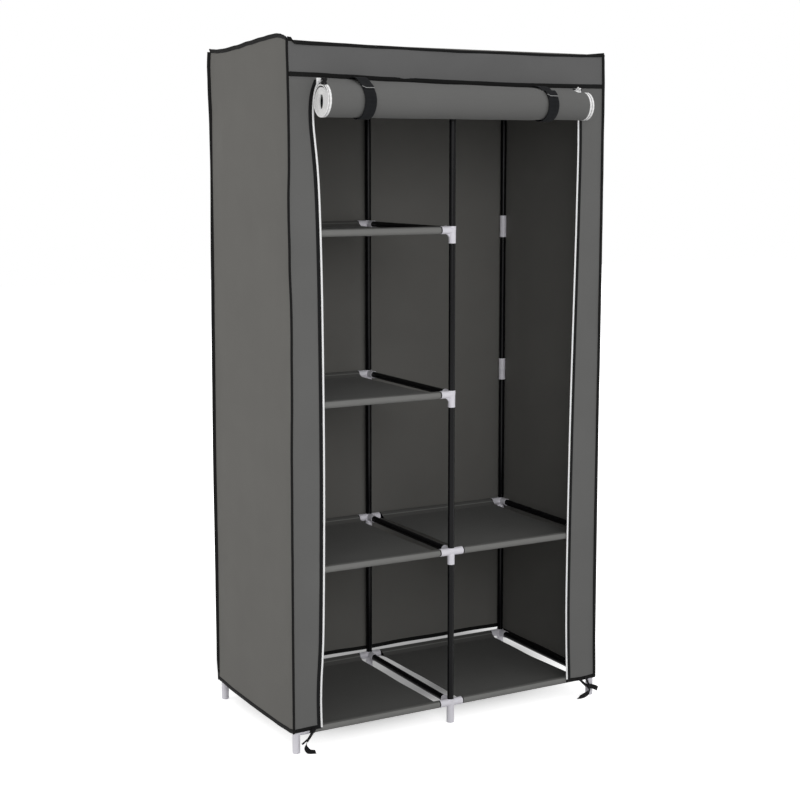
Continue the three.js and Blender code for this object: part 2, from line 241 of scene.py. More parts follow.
floor_finish = bpy.data.materials.new("pale_floor")
floor_finish.use_nodes = True
tree = floor_finish.node_tree
tree.nodes.clear()
paint = add_node(tree, "BsdfDiffuse")
glow = add_node(tree, "Emission", {"Color": (1, 1, 1, 1)})
floor_place = add_node(tree, "TexCoord")
cover_low, cover_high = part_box("cover_roof")
inset = Vector((0.02, 0.02, 0))
# Two rectangles of painted shadow: one below the cover, and one behind it that reaches out to the right.
below = share_inside(tree, floor_place, cover_low + inset, cover_high - inset, painted_shadow_soft_below)
painted_shadow_behind_low = (-0.50, cover_high.y - 0.35)
painted_shadow_behind_high = (0.72, cover_high.y + 0.50)
behind = share_inside(tree, floor_place, painted_shadow_behind_low, painted_shadow_behind_high, painted_shadow_soft_behind)
far_off = add_node(tree, "VectorMath", operation="LENGTH")
painted_shadow_below = add_node(tree, "MapRange", {"To Min": near_glow, "To Max": glow_under_painted_shadow})
white_far_off = add_node(
    tree, "MapRange", {"From Min": near, "From Max": far, "To Min": 0, "To Max": added_far_off})
painted_shadow_behind = add_node(tree, "MapRange", {"To Min": 1, "To Max": light_left_in_painted_shadow_behind})
# The floor's paint is darkened behind the wardrobe by the painted shadow.
paint_with_painted_shadow = add_node(
    tree, "VectorMath", {0: (floor_grey, floor_grey, floor_grey)}, operation="SCALE")
open_floor = add_node(tree, "Math", operation="ADD")
brightness = add_node(tree, "Math", operation="MULTIPLY")
wire(tree, floor_place, "Object", far_off, 0)
wire(tree, far_off, "Value", white_far_off, "Value")
wire(tree, below, 0, painted_shadow_below, "Value")
wire(tree, behind, 0, painted_shadow_behind, "Value")
wire(tree, painted_shadow_behind, 0, paint_with_painted_shadow, "Scale")
wire(tree, paint_with_painted_shadow, "Vector", paint, "Color")
wire(tree, painted_shadow_below, 0, open_floor, 0)
wire(tree, white_far_off, 0, open_floor, 1)
wire(tree, open_floor, 0, brightness, 0)
wire(tree, painted_shadow_behind, 0, brightness, 1)
wire(tree, brightness, 0, glow, "Strength")
painted_glow = add_node(tree, "AddShader")
plain_paint = add_node(tree, "BsdfDiffuse", {"Color": (bounced_grey, bounced_grey, bounced_grey, 1)})
wire(tree, paint, 0, painted_glow, 0)
wire(tree, glow, 0, painted_glow, 1)
split_rays(tree, plain_paint, painted_glow, "OutputMaterial")
floor_mesh.materials.append(floor_finish)
print("floor finish", floor_finish.name, "with", len(tree.nodes), "nodes")

# %% [markdown]
# ## Finishes
# Each finish starts from one shader with a colour and a roughness. Nodes then add what the hand would
# feel: fibres, ribs, grain. Constants such as sheen stay on the shader's own sockets.

# %% A material to start from


def start_finish(name, colour, roughness, **constants):
    finish = bpy.data.materials.new(name)
    finish.use_nodes = True
    tree = finish.node_tree
    shader = tree.nodes["Principled BSDF"]
    shader.inputs["Base Color"].default_value = (*colour, 1)
    shader.inputs["Roughness"].default_value = roughness
    for socket, value in constants.items():
        shader.inputs[socket.replace("_", " ")].default_value = value
    return finish, tree, shader


def weigh(tree, source, output, weight, below=None):
    """The source's value times a weight, plus what the node below gives."""
    made = add_node(tree, "Math", {1: weight}, operation="MULTIPLY_ADD")
    made.inputs[2].default_value = 0
    wire(tree, source, output, made, 0)
    if below is not None:
        wire(tree, below, 0, made, 2)
    return made


def vary_colour(tree, shader, value, colour, dark, light):
    """Moves the colour between a darker and a lighter one as the value goes from 0 to 1."""
    blend = add_node(tree, "Mix", data_type="RGBA")
    blend.inputs[6].default_value = (*lighter(colour, dark), 1)
    blend.inputs[7].default_value = (*lighter(colour, light), 1)
    wire(tree, value, 0, blend, 0)
    wire(tree, blend, 2, shader, "Base Color")


def emboss(tree, height, output, strength, depth, below=None):
    """A bump from a height, laid over the bump below."""
    bump = add_node(tree, "Bump", {"Strength": strength, "Distance": depth})
    wire(tree, height, output, bump, "Height")
    if below is not None:
        wire(tree, below, 0, bump, "Normal")
    return bump


print("finish helpers ready")

# %% [markdown]
# The cover and the shelves are spunbonded cloth: fibres laid at random and pressed together at a grid
# of tiny dots. Close up it shows the dots and the fibres, from afar a soft, slightly cloudy grey.

# %% Spunbonded cloth


def spunbonded_cloth(name, colour, crease):
    finish, tree, shader = start_finish(
        name, colour, 0.92, Specular_IOR_Level=0.22, Sheen_Weight=0.05, Sheen_Roughness=0.5)
    place = add_node(tree, "TexCoord")
    dots = add_node(tree, "TexVoronoi", {"Scale": 520, "Randomness": 0.18})
    fibres = add_node(tree, "TexNoise", {"Scale": 1500, "Detail": 3, "Roughness": 0.7})
    cloudy = add_node(tree, "TexNoise", {"Scale": 6, "Detail": 4, "Roughness": 0.55})
    for texture in (dots, fibres, cloudy):
        wire(tree, place, "Object", texture, "Vector")
    tone = weigh(tree, dots, "Distance", 0.25)
    tone = weigh(tree, fibres, 0, 0.45, tone)
    tone = weigh(tree, cloudy, 0, 0.55, tone)
    vary_colour(tree, shader, tone, colour, 0.86, 1.12)
    rough = add_node(tree, "MapRange", {"To Min": 0.86, "To Max": 0.98})
    wire(tree, fibres, 0, rough, 0)
    wire(tree, rough, 0, shader, "Roughness")
    soft_fold = add_node(tree, "Mapping")
    soft_fold.inputs["Scale"].default_value = (1, 1, 0.32)
    wire(tree, place, "Object", soft_fold, "Vector")
    folds = add_node(tree, "TexNoise", {"Scale": 9, "Detail": 2, "Distortion": 0.4})
    wire(tree, soft_fold, 0, folds, "Vector")
    low = emboss(tree, folds, 0, crease, 6 * mm)
    middle = emboss(tree, dots, "Distance", 0.35, 0.25 * mm, low)
    top = emboss(tree, fibres, 0, 0.3, 0.2 * mm, middle)
    wire(tree, top, 0, shader, "Normal")
    return finish


cover_cloth = spunbonded_cloth("cover_cloth", screen_colour(102, 101, 98), 0.10)
front_cloth = spunbonded_cloth("front_cloth", screen_colour(103, 103, 102), 0.10)
header_cloth = spunbonded_cloth("header_cloth", screen_colour(101, 101, 101), 0.14)
# The shelf cloth is the cover's cloth painted darker, a painted shade for the shelves' tops, and the hem
# cloth is it painted paler, a painted highlight where a hem faces the light.
shelf_cloth = spunbonded_cloth("shelf_cloth", screen_colour(88, 88, 86), 0.05)
hem_cloth_painted_light = spunbonded_cloth("hem_cloth_painted_light", screen_colour(120, 120, 118), 0.04)
cloths = (cover_cloth, front_cloth, header_cloth, shelf_cloth, hem_cloth_painted_light)
print("cloths:", [finish.name for finish in cloths])

# %% [markdown]
# Binding tape, zip tape, webbing and ribbon are woven in ribs across their length. These pieces carry
# a map in real metres, along and across, so the ribs follow every bend of the tape.

# %% Woven tapes


def woven_tape(name, colour, ribs, sheen):
    """Ribs is how many cross ribs lie in a metre of tape."""
    finish, tree, shader = start_finish(
        name, colour, 0.8, Specular_IOR_Level=0.12, Sheen_Weight=sheen, Sheen_Roughness=0.4)
    place = add_node(tree, "TexCoord")
    across = add_node(tree, "TexWave", {"Scale": ribs / 20, "Distortion": 0.6, "Detail": 1})
    along = add_node(tree, "TexWave", {"Scale": ribs / 32, "Distortion": 0.4}, bands_direction="Y")
    worn = add_node(tree, "TexNoise", {"Scale": 60, "Detail": 4})
    for texture in (across, along):
        wire(tree, place, "UV", texture, "Vector")
    wire(tree, place, "Object", worn, "Vector")
    tone = weigh(tree, across, 1, 0.35)
    tone = weigh(tree, along, 1, 0.25, tone)
    tone = weigh(tree, worn, 0, 0.4, tone)
    vary_colour(tree, shader, tone, colour, 0.8, 1.25)
    ribs_up = emboss(tree, across, 1, 0.6, 0.35 * mm)
    threads_up = emboss(tree, along, 1, 0.35, 0.25 * mm, ribs_up)
    wire(tree, threads_up, 0, shader, "Normal")
    return finish


binding_tape = woven_tape("binding_tape", screen_colour(21, 21, 21), 900, 0.01)
zip_tape_black = woven_tape("zip_tape_black", screen_colour(23, 23, 24), 1300, 0.01)
zip_tape_white = woven_tape("zip_tape_white", screen_colour(254, 254, 254), 1300, 0.02)
strap_webbing = woven_tape("strap_webbing", screen_colour(25, 26, 28), 600, 0.01)
ribbon = woven_tape("ribbon", screen_colour(22, 22, 23), 1100, 0.01)
# The pale grey line drawn along each strap's cut end.
pale_cut_end_line = woven_tape("pale_cut_end_line", screen_colour(165, 165, 165), 2200, 0.1)
print("tapes ready")

# %% [markdown]
# The tubes are powder coated, which leaves a fine orange peel. The connectors are moulded in white
# plastic with a faint bluish tint and a satin grain.

# %% Powder coat and plastic


def powder_coat(name, colour):
    finish, tree, shader = start_finish(name, colour, 0.22, Specular_IOR_Level=0.12)
    place = add_node(tree, "TexCoord")
    peel = add_node(tree, "TexNoise", {"Scale": 700, "Detail": 2})
    rubbed = add_node(tree, "TexNoise", {"Scale": 30, "Detail": 4, "Roughness": 0.6})
    wire(tree, place, "Object", peel, "Vector")
    wire(tree, place, "Object", rubbed, "Vector")
    rough = add_node(tree, "MapRange", {"To Min": 0.16, "To Max": 0.28})
    wire(tree, rubbed, 0, rough, 0)
    wire(tree, rough, 0, shader, "Roughness")
    vary_colour(tree, shader, rubbed, colour, 0.8, 1.3)
    bump = emboss(tree, peel, 0, 0.25, 0.12 * mm)
    wire(tree, bump, 0, shader, "Normal")
    return finish


def moulded_plastic(name, colour, roughness, grain):
    finish, tree, shader = start_finish(name, colour, roughness, Specular_IOR_Level=0.5)
    place = add_node(tree, "TexCoord")
    texture = add_node(tree, "TexNoise", {"Scale": grain, "Detail": 3})
    flow = add_node(tree, "TexNoise", {"Scale": 45, "Detail": 3})
    wire(tree, place, "Object", texture, "Vector")
    wire(tree, place, "Object", flow, "Vector")
    rough = add_node(tree, "MapRange", {"To Min": roughness - 0.08, "To Max": roughness + 0.1})
    wire(tree, flow, 0, rough, 0)
    wire(tree, rough, 0, shader, "Roughness")
    vary_colour(tree, shader, flow, colour, 0.95, 1.04)
    bump = emboss(tree, texture, 0, 0.2, 0.1 * mm)
    wire(tree, bump, 0, shader, "Normal")
    return finish


tube_coat = powder_coat("tube_coat", screen_colour(10, 10, 12))
connector_white = moulded_plastic("connector_white", screen_colour(224, 222, 229), 0.45, 900)
zip_white = moulded_plastic("zip_white", screen_colour(252, 252, 252), 0.35, 1500)
print("hard finishes:", tube_coat.name, connector_white.name, zip_white.name)

# %% [markdown]
# ## Helpers for making pieces
# Cloth is a grid that a rule lays into place, with a map in metres. Round parts are an outline spun
# round an axis. Every finished piece has its place in its mesh, rides on a body of the frame, and hides
# the CAD nodes it stands for.

# %% From a bmesh to a finished piece


def finished_piece(name, build, finishes, body="wardrobe", replaces=(), crease=40):
    """Turns a bmesh into a piece that rides on a body, with smooth shading up to a crease angle."""
    mesh = bpy.data.meshes.new(name)
    build.to_mesh(mesh)
    build.free()
    for finish in finishes:
        mesh.materials.append(finish)
    mesh.shade_smooth()
    mesh.set_sharp_from_angle(angle=math.radians(crease))
    piece = bpy.data.objects.new(name, mesh)
    scene.collection.objects.link(piece)
    if body:
        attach(piece, body)
    if replaces:
        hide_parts(*replaces)
    return piece


def laid_grid(along, across, place, size=(1, 1), closed=False, paint=None):
    """A grid of along by across squares. Place gives the point for shares from 0 to 1 each way.
    Size is the cloth's real length and width, for its map. Paint gives a face's finish number."""
    build = bmesh.new()
    bmesh.ops.create_grid(build, x_segments=along, y_segments=across, size=0.5)
    cloth_map = build.loops.layers.uv.new("UVMap")
    for face in build.faces:
        middle = face.calc_center_median()
        if paint:
            face.material_index = paint(middle.x + 0.5, middle.y + 0.5)
        for corner in face.loops:
            share = corner.vert.co
            corner[cloth_map].uv = ((share.x + 0.5) * size[0], (share.y + 0.5) * size[1])
    for vertex in build.verts:
        vertex.co = place(vertex.co.x + 0.5, vertex.co.y + 0.5)
    if closed:
        bmesh.ops.remove_doubles(build, verts=build.verts, dist=0.00001)
    build.normal_update()
    return build


def thicken(build, thickness):
    """Gives a sheet its thickness, inwards from its face."""
    bmesh.ops.solidify(build, geom=build.faces[:], thickness=thickness)
    build.normal_update()
    return build


def close_ends(build):
    """Closes the open ends of a long closed section and turns its faces outwards."""
    bmesh.ops.holes_fill(build, edges=[edge for edge in build.edges if edge.is_boundary])
    bmesh.ops.recalc_face_normals(build, faces=build.faces)


def face_towards(build, way):
    """Turns a sheet's faces over if they look away from the given way on the whole."""
    if sum(face.normal.dot(way) for face in build.faces) < 0:
        bmesh.ops.reverse_faces(build, faces=build.faces)


print("piece helpers ready")

# %% Curves


def soft_step(share):
    """0 below 0, 1 above 1 and a smooth rise between."""
    share = min(1, max(0, share))
    return share * share * (3 - 2 * share)


def smooth_rule(table):
    """A smooth curve through the (place, value) pairs of a table, in millimetres."""
    def value(at):
        if at <= table[0][0]:
            return table[0][1]
        for (start, low), (end, high) in zip(table, table[1:]):
            if at <= end:
                return low + (high - low) * soft_step((at - start) / (end - start))
        return table[-1][1]
    return value


def curved(start, leave, end, arrive, t):
    """A smooth curve from start to end for t from 0 to 1, with the slopes it leaves and arrives by."""
    return (start * (2 * t**3 - 3 * t**2 + 1) + leave * (t**3 - 2 * t**2 + t)
            + end * (3 * t**2 - 2 * t**3) + arrive * (t**3 - t**2))


def squarer(wave, power):
    """A sine or cosine drawn towards 1 and -1, which makes an oval squarer."""
    return math.copysign(abs(wave) ** power, wave)


def ripple(a, b, seed, size, height):
    """A soft unevenness, in metres, that is the same on every run."""
    return height * noise.noise(Vector((a / size, b / size, seed)))


def mixed(a, b, share):
    return a + (b - a) * share


print("halfway up a soft step:", soft_step(0.5))

# %% [markdown]
# ## The cover's edges
# The cover is sewn from panels, and every seam is bound in black tape. The cloth is not quite even:
# the left top edge rises in a hump near the front, the front top edge sinks towards the right, and
# the corners sway a little. These curves are set down once, so that panels and bindings agree.

# %% Main planes of the cover
roof_low, roof_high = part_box("cover_roof")
left_x, right_x = roof_low.x, roof_high.x
front_y, back_y = roof_low.y, roof_high.y
seam_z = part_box("cover_header")[0].z
hem_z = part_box("cover_left_side")[0].z
cloth = roof_high.z - roof_low.z
cover_width = right_x - left_x
cover_depth = back_y - front_y
print(f"cover {cover_width / mm:.0f} x {cover_depth / mm:.0f} mm, cloth {cloth / mm:.1f} mm")

# %% How the edges sway, in millimetres
left_top = smooth_rule([
    (-185, 1683), (-168, 1688), (-150, 1692), (-128, 1694), (-100, 1693.5), (-46, 1691),
    (28, 1687), (104, 1682), (180, 1679), (225, 1679.5), (262, 1682), (275, 1684)])
front_top = smooth_rule([
    (-442, 1683), (-418, 1682), (-366, 1680.5), (-300, 1679.5), (-205, 1677.5), (-65, 1675.5),
    (21, 1674.5), (140, 1675), (262, 1674.5), (356, 1675.5), (419, 1677), (442, 1679)])
right_top = smooth_rule([(-185, 1679), (-60, 1680.5), (60, 1681), (200, 1680), (275, 1681)])
back_top = smooth_rule([
    (-442, 1684), (-400, 1680.5), (-200, 1683), (60, 1680), (250, 1684), (442, 1682)])
front_left_sway = smooth_rule([
    (54, 0.5), (400, 0.3), (700, 0.5), (860, 2.4), (1040, 2.7), (1180, -0.8), (1320, -2.5),
    (1413, -0.3), (1530, -0.6), (1600, -1.8), (1680, -3.5)])
rear_left_sway = smooth_rule([
    (54, 4), (110, 1), (300, 0.2), (650, -1.5), (980, -0.7), (1150, 0.2), (1400, 2.2),
    (1500, 1), (1600, -2), (1650, -3), (1690, -1)])
front_right_sway = smooth_rule([
    (54, 0), (150, -2), (300, -3.4), (520, -3.6), (700, -2), (1000, 0), (1200, 1.2), (1600, 1.7),
    (1660, 0.4), (1685, -1.5)])
rear_right_sway = smooth_rule([(54, 2), (300, 0), (700, 1.6), (1100, -1.2), (1500, 0.8), (1685, -1)])
left_hem = smooth_rule([(-185, 53), (-160, 49), (-90, 46), (60, 44.5), (180, 45), (275, 49)])
right_hem = smooth_rule([(-185, 50), (-100, 50.5), (60, 53), (180, 51), (275, 52)])
back_hem = smooth_rule([
    (-442, 67), (-340, 67.5), (-240, 66), (-120, 68), (0, 66), (110, 68), (230, 66.5), (330, 68),
    (442, 66)])
print("left top edge at its highest:", max(left_top(y) for y in range(-185, 276, 5)), "mm")

# %% Corner lines
sways = {"front_left": front_left_sway, "rear_left": rear_left_sway,
         "front_right": front_right_sway, "rear_right": rear_right_sway}


def corner(which, z, tape=False):
    """The point on a corner line of the cover at height z. Only the tape sways inwards: the cloth is
    held out by the connectors."""
    x = left_x if which.endswith("left") else right_x
    y = front_y if which.startswith("front") else back_y
    sway = sways[which](z / mm)
    if not tape:
        sway = min(sway, 0) if which.endswith("left") else max(sway, 0)
    return Vector((x + sway * mm, y, z))


def swell(u, v):
    """0 along a panel's edges and 1 over most of its middle."""
    return min(1, 7 * u * (1 - u)) * min(1, 14 * v * (1 - v))


print("front left corner leans", round(front_left_sway(1680) - front_left_sway(54), 1), "mm")

# %% [markdown]
# ## Side and back panels
# Each panel hangs between two corner lines. Between the side rails the cloth stands out a few
# millimetres, and it is drawn in where it passes a rail.

# %% Side and back cloth


half_way_up = 0.8
first_belly = 0.25
rail_spacing = 0.4


def hanging_panel(name, start, end, top, hem, out, belly, seed, replaces):
    """A panel between two corner lines. Top and hem give its edges, out is the way it faces. Belly is
    how far it stands out between the rails."""
    start_corner = corner(start, half_way_up)
    end_corner = corner(end, half_way_up)

    def place(u, v):
        run = mixed(start_corner, end_corner, u)
        along = run.y if abs(out.x) > 0.5 else run.x
        low = hem(along / mm) * mm
        high = top(along / mm) * mm
        z = mixed(low, high, v)
        spot = mixed(corner(start, z), corner(end, z), u)
        between_rails = 0.55 + 0.45 * math.cos((z - first_belly) / rail_spacing * 2 * math.pi)
        lift = belly * swell(u, v) * between_rails
        lift += ripple(along, z, seed, 0.22, 2.2 * mm) * swell(u, v)
        lift += ripple(along, z * 0.3, seed + 5, 0.06, 0.9 * mm) * swell(u, v)
        return spot + out * max(lift, -0.2 * mm)

    length = (end_corner - start_corner).length
    height = (top(0) - hem(0)) * mm
    build = laid_grid(44, 90, place, (length, height))
    panel = finished_piece(
        name, thicken(build, cloth), [cover_cloth], replaces=replaces)
    return panel


left_panel = hanging_panel(
    "cover_left_panel", "rear_left", "front_left", left_top, left_hem,
    Vector((-1, 0, 0)), 3 * mm, 1.0, ["cover_left_side"])
right_panel = hanging_panel(
    "cover_right_panel", "front_right", "rear_right", right_top, right_hem,
    Vector((1, 0, 0)), 3 * mm, 2.0, ["cover_right_side"])
back_panel = hanging_panel(
    "cover_back_panel", "rear_right", "rear_left", back_top, back_hem,
    Vector((0, 1, 0)), 2 * mm, 3.0, ["cover_back"])
print("panels:", left_panel.name, right_panel.name, back_panel.name)

# %% [markdown]
# ## Roof
# The roof lies on the top rails. Its four edges follow the seams, and near an edge that sinks below
# the rails the cloth first rests on the tube and then drops to the seam.

# %% Roof cloth
rail_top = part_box("side_rail_left_top")[1].z + 2.2 * mm


def roof_point(u, v):
    x = mixed(left_x, right_x, u)
    y = mixed(front_y, back_y, v)
    front = front_top(x / mm) * mm
    back = back_top(x / mm) * mm
    left = left_top(y / mm) * mm
    right = right_top(y / mm) * mm
    front_corners = mixed(left_top(-185), front_top(442), u)
    back_corners = mixed(left_top(275), back_top(442), u)
    corners = mixed(front_corners, back_corners, v)
    edge_height = mixed(front, back, v) + mixed(left, right, u) - corners * mm
    reach = min(x - left_x, right_x - x, y - front_y, back_y - y)
    settle = 1 - math.exp(-reach / (60 * mm))
    resting = mixed(edge_height, rail_top + 0.6 * mm, settle * 0.85)
    resting += ripple(x, y, 4.0, 0.16, 2.5 * mm) * settle
    over_rail = 1 - math.exp(-reach / (1.2 * mm))
    z = max(resting, mixed(edge_height, rail_top, over_rail))
    front_x = mixed(corner("front_left", z).x, corner("front_right", z).x, u)
    rear_x = mixed(corner("rear_left", z).x, corner("rear_right", z).x, u)
    return Vector((mixed(front_x, rear_x, v), y, z))


def crowd_edges(share):
    """Places more grid lines near the two ends."""
    return 0.5 - 0.5 * math.cos(math.pi * share)


roof_build = laid_grid(
    70, 44, lambda u, v: roof_point(crowd_edges(u), crowd_edges(v)), (cover_width, cover_depth))
roof = finished_piece("cover_roof_panel", thicken(roof_build, cloth), [cover_cloth],
                      replaces=["cover_roof"])
print("roof rests", round((rail_top - cloth) / mm, 1), "mm above the floor")

# %% [markdown]
# ## Header and stiles
# The front has three fixed pieces of cloth: the header across the top, and a narrow stile on each
# side. The stile's inner edge carries the zip. The door's pull has bowed that edge, and the CAD stile
# already has the curve, so it is read from there.

# %% Zip edges, read from the CAD stiles


def inner_edge(node, side):
    """The stile's zip edge from hem to header, as (height, x) pairs."""
    low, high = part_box(node)
    outer = low.x if side < 0 else high.x
    points = set()
    for vertex in frame["nodes"][node].data.vertices:
        if abs(vertex.co.x - outer) > 20 * mm and vertex.co.y < low.y + 0.1 * mm:
            points.add((round(vertex.co.z, 5), round(vertex.co.x, 5)))
    return sorted(points)


def zip_curve(points):
    """A smooth curve through the points. It gives the edge's x at a height."""
    def value(z):
        z = min(max(z, points[0][0]), points[-1][0])
        index = 0
        while index < len(points) - 2 and z > points[index + 1][0]:
            index += 1
        (z1, x1), (z2, x2) = points[index], points[index + 1]
        before = points[max(index - 1, 0)]
        after = points[min(index + 2, len(points) - 1)]
        slope_in = (x2 - before[1]) / (z2 - before[0]) * (z2 - z1)
        slope_out = (after[1] - x1) / (after[0] - z1) * (z2 - z1)
        return curved(x1, slope_in, x2, slope_out, (z - z1) / (z2 - z1))
    return value


left_edge_points = inner_edge("cover_left_stile", -1)
right_edge_points = inner_edge("cover_right_stile", 1)
left_zip_x = zip_curve(left_edge_points)
right_zip_x = zip_curve(right_edge_points)
print(len(left_edge_points), "points on the left zip,", len(right_edge_points), "on the right")

# %% Stile and header cloth
front_hem = smooth_rule([(-442, 54), (-380, 55), (-357, 54), (346, 49), (400, 47), (442, 49)])


def stile_point(side, u, v):
    edge_x = left_zip_x if side < 0 else right_zip_x
    low = front_hem(-400 if side < 0 else 400) * mm
    z = mixed(low, seam_z + 4 * mm, v)
    outer = corner("front_left" if side < 0 else "front_right", z).x
    inner = edge_x(z) + side * 1.5 * mm
    x = mixed(outer, inner, u) if side < 0 else mixed(inner, outer, u)
    lift = ripple(x, z, 6.0 + side, 0.12, 1.6 * mm) * swell(u, v)
    return Vector((x, front_y - max(lift, -0.2 * mm), z))


for side, name, node in ((-1, "left_stile_cloth", "cover_left_stile"),
                         (1, "right_stile_cloth", "cover_right_stile")):
    build = laid_grid(12, 120, lambda u, v: stile_point(side, u, v), (0.085, 1.55))
    stile = finished_piece(name, thicken(build, cloth), [front_cloth], replaces=[node])
    print("made", stile.name)


def header_point(u, v):
    x = mixed(left_x, right_x, u)
    z = mixed(seam_z - 2 * mm, front_top(x / mm) * mm, v)
    shift = mixed(corner("front_left", z).x, corner("front_right", z).x, u) - x
    lift = 1.2 * mm * swell(u, v) + ripple(x, z, 8.0, 0.09, 1.8 * mm) * swell(u, v)
    return Vector((x + shift, front_y - max(lift, -0.2 * mm), z))


header_height = 0.082
header_build = laid_grid(90, 14, header_point, (cover_width, header_height))
header = finished_piece("header_cloth", thicken(header_build, cloth), [header_cloth],
                        replaces=["cover_header"])
print("made", header.name)

# %% [markdown]
# ## Binding
# At a seam the two raw edges are sewn together and folded into a black tape, which stands out as a
# small flat rib. Along a hem or the header the tape lies flat. Both are one flat oval section carried
# along a line.

# %% Tape along a line


def bound_line(name, line, lean, width, thickness, steps, length, inset=0.0, finish=binding_tape,
               narrow=1.0):
    """A flat tape along a line. Lean is the way its width points at a share of the line, and inset is
    how far its near edge lies behind the line. Narrow is what is left of the width after the first
    third."""
    def place(u, v):
        wide = width * mixed(1, narrow, min(1, 3 * u))
        here = line(u)
        ahead = (line(min(u + 0.002, 1)) - line(max(u - 0.002, 0))).normalized()
        out = lean(u)
        out = (out - ahead * out.dot(ahead)).normalized()
        side = ahead.cross(out)
        turn = 2 * math.pi * v
        flat = squarer(math.cos(turn), 0.5)
        round_side = squarer(math.sin(turn), 0.5)
        wander = ripple(u * length, 0.0, len(name) * 1.7, 0.05, 0.5 * mm)
        return (here + out * (wide * (0.5 + 0.5 * flat) - inset)
                + side * (thickness * 0.5 * round_side + wander))

    build = laid_grid(steps, 14, place, (length, 2 * width), closed=True)
    close_ends(build)
    return finished_piece(name, build, [finish], crease=60)


def corner_line(which, low, high):
    return lambda u: corner(which, mixed(low, high, u), tape=True)


def steady(*direction):
    way = Vector(direction).normalized()
    return lambda u: way


print("binding helper ready")

# %% Bindings of the upright seams
upright_length = 1.63
for which, low, high, way, width, thickness, inset in (
        ("front_left", 53 * mm, 1.684, (-0.8, -0.6, 0), 8 * mm, 4.0 * mm, 3 * mm),
        ("rear_left", 49 * mm, 1.684, (-0.75, 0.66, 0), 10.5 * mm, 4.0 * mm, 2 * mm),
        ("front_right", 49 * mm, 1.680, (-0.96, -0.28, 0), 9 * mm, 3.2 * mm, 1.5 * mm),
        ("rear_right", 50 * mm, 1.682, (0.7, 0.7, 0), 8 * mm, 3.2 * mm, 2 * mm)):
    bound_line(f"binding_{which}", corner_line(which, low, high), steady(*way), width, thickness, 90,
               upright_length, inset=inset)
print("four upright bindings")

# %% Bindings of the roof's edges


def top_edge(rule, start, end, along):
    """A line along one top edge. Along is 0 for an edge that runs in x and 1 for one in y."""
    def line(u):
        at = mixed(start, end, u)
        z = rule(at / mm) * mm
        if along == 0:
            near = "front" if rule is front_top else "rear"
            left = corner(near + "_left", z)
            right = corner(near + "_right", z)
            part = (at - left_x) / cover_width
            return Vector((mixed(left.x, right.x, part), left.y, z))
        near = "left" if rule is left_top else "right"
        front = corner("front_" + near, z)
        back = corner("rear_" + near, z)
        part = (at - front_y) / cover_depth
        return Vector((mixed(front.x, back.x, part), at, z))
    return line


bound_line("binding_top_left", top_edge(left_top, front_y, back_y, 1), steady(-0.35, 0, 0.94),
           10 * mm, 3.4 * mm, 60, cover_depth, inset=1.5 * mm)


def front_top_lean(u):
    """The tape stands up at the left corner and lies down on the header further right."""
    share = min(1, max(0, u / 0.03))
    return Vector((0, -0.25 - 0.1 * share, mixed(0.9, -0.94, soft_step(share)))).normalized()


bound_line("binding_top_front", top_edge(front_top, left_x, right_x, 0), front_top_lean,
           10 * mm, 3.2 * mm, 110, cover_width, inset=1.5 * mm, narrow=0.66)
bound_line("binding_top_right", top_edge(right_top, front_y + 3 * mm, back_y, 1), steady(0.15, 0, 0.98),
           7 * mm, 3.2 * mm, 60, cover_depth, inset=2 * mm)
bound_line("binding_top_rear", top_edge(back_top, left_x, right_x, 0), steady(0, 0.5, 0.86),
           9 * mm, 3.2 * mm, 110, cover_width, inset=1.5 * mm)
print("four roof bindings")

# %% Bindings of the hems and of the header's lower edge


def flat_line(rule, start, end, along, fixed):
    """A line at the heights of a rule. Along is 0 if it runs in x and 1 if it runs in y, and fixed is
    its other place."""
    def line(u):
        at = mixed(start, end, u)
        z = rule(at / mm) * mm
        return Vector((at, fixed, z)) if along == 0 else Vector((fixed, at, z))
    return line


up = steady(0, 0, 1)
seam_rule = smooth_rule([(-442, 1602.5), (-380, 1602), (-300, 1600), (-180, 1597), (0, 1594.3),
                         (170, 1592), (343, 1593), (442, 1594)])
header_face = front_y - 0.9 * mm
bound_line("binding_header", flat_line(seam_rule, left_x, right_x, 0, header_face), up,
           10.5 * mm, 2.6 * mm, 120, cover_width)
front_middle = front_y + cloth / 2
left_stile_line = flat_line(front_hem, left_x, left_zip_x(hem_z) + 2 * mm, 0, front_middle)
right_stile_line = flat_line(front_hem, right_zip_x(hem_z) - 2 * mm, right_x, 0, front_middle)
left_line = flat_line(left_hem, front_y, back_y, 1, left_x + cloth / 2)
right_line = flat_line(right_hem, front_y, back_y, 1, right_x - cloth / 2)
rear_line = flat_line(back_hem, left_x, right_x, 0, back_y - cloth / 2)
for which, line, width, steps, length in (
        ("left_stile", left_stile_line, 10 * mm, 16, 0.09),
        ("right_stile", right_stile_line, 10 * mm, 16, 0.09),
        ("left", left_line, 11 * mm, 60, cover_depth),
        ("right", right_line, 11 * mm, 60, cover_depth),
        ("rear", rear_line, 11 * mm, 110, cover_width)):
    bound_line(f"binding_hem_{which}", line, up, width, 3.4 * mm, steps, length, inset=1 * mm)
print("six flat bindings")

# %% [markdown]
# ## Round parts
# Tubes, sockets and sleeves are turned parts: a closed outline of radius and height, spun once round
# the Z axis, and then laid along the direction it needs.

# %% Turned parts


def turned(outline, steps=32):
    """Spins a closed outline of (radius, height) points, in metres, round the Z axis."""
    part = bmesh.new()
    points = [part.verts.new((radius, 0, height)) for radius, height in outline]
    edges = [part.edges.new(pair) for pair in zip(points, points[1:] + points[:1])]
    bmesh.ops.spin(part, geom=points + edges, cent=(0, 0, 0), axis=(0, 0, 1),
                   angle=2 * math.pi, steps=steps, use_merge=True)
    bmesh.ops.remove_doubles(part, verts=part.verts, dist=0.000005)
    bmesh.ops.recalc_face_normals(part, faces=part.faces)
    return part


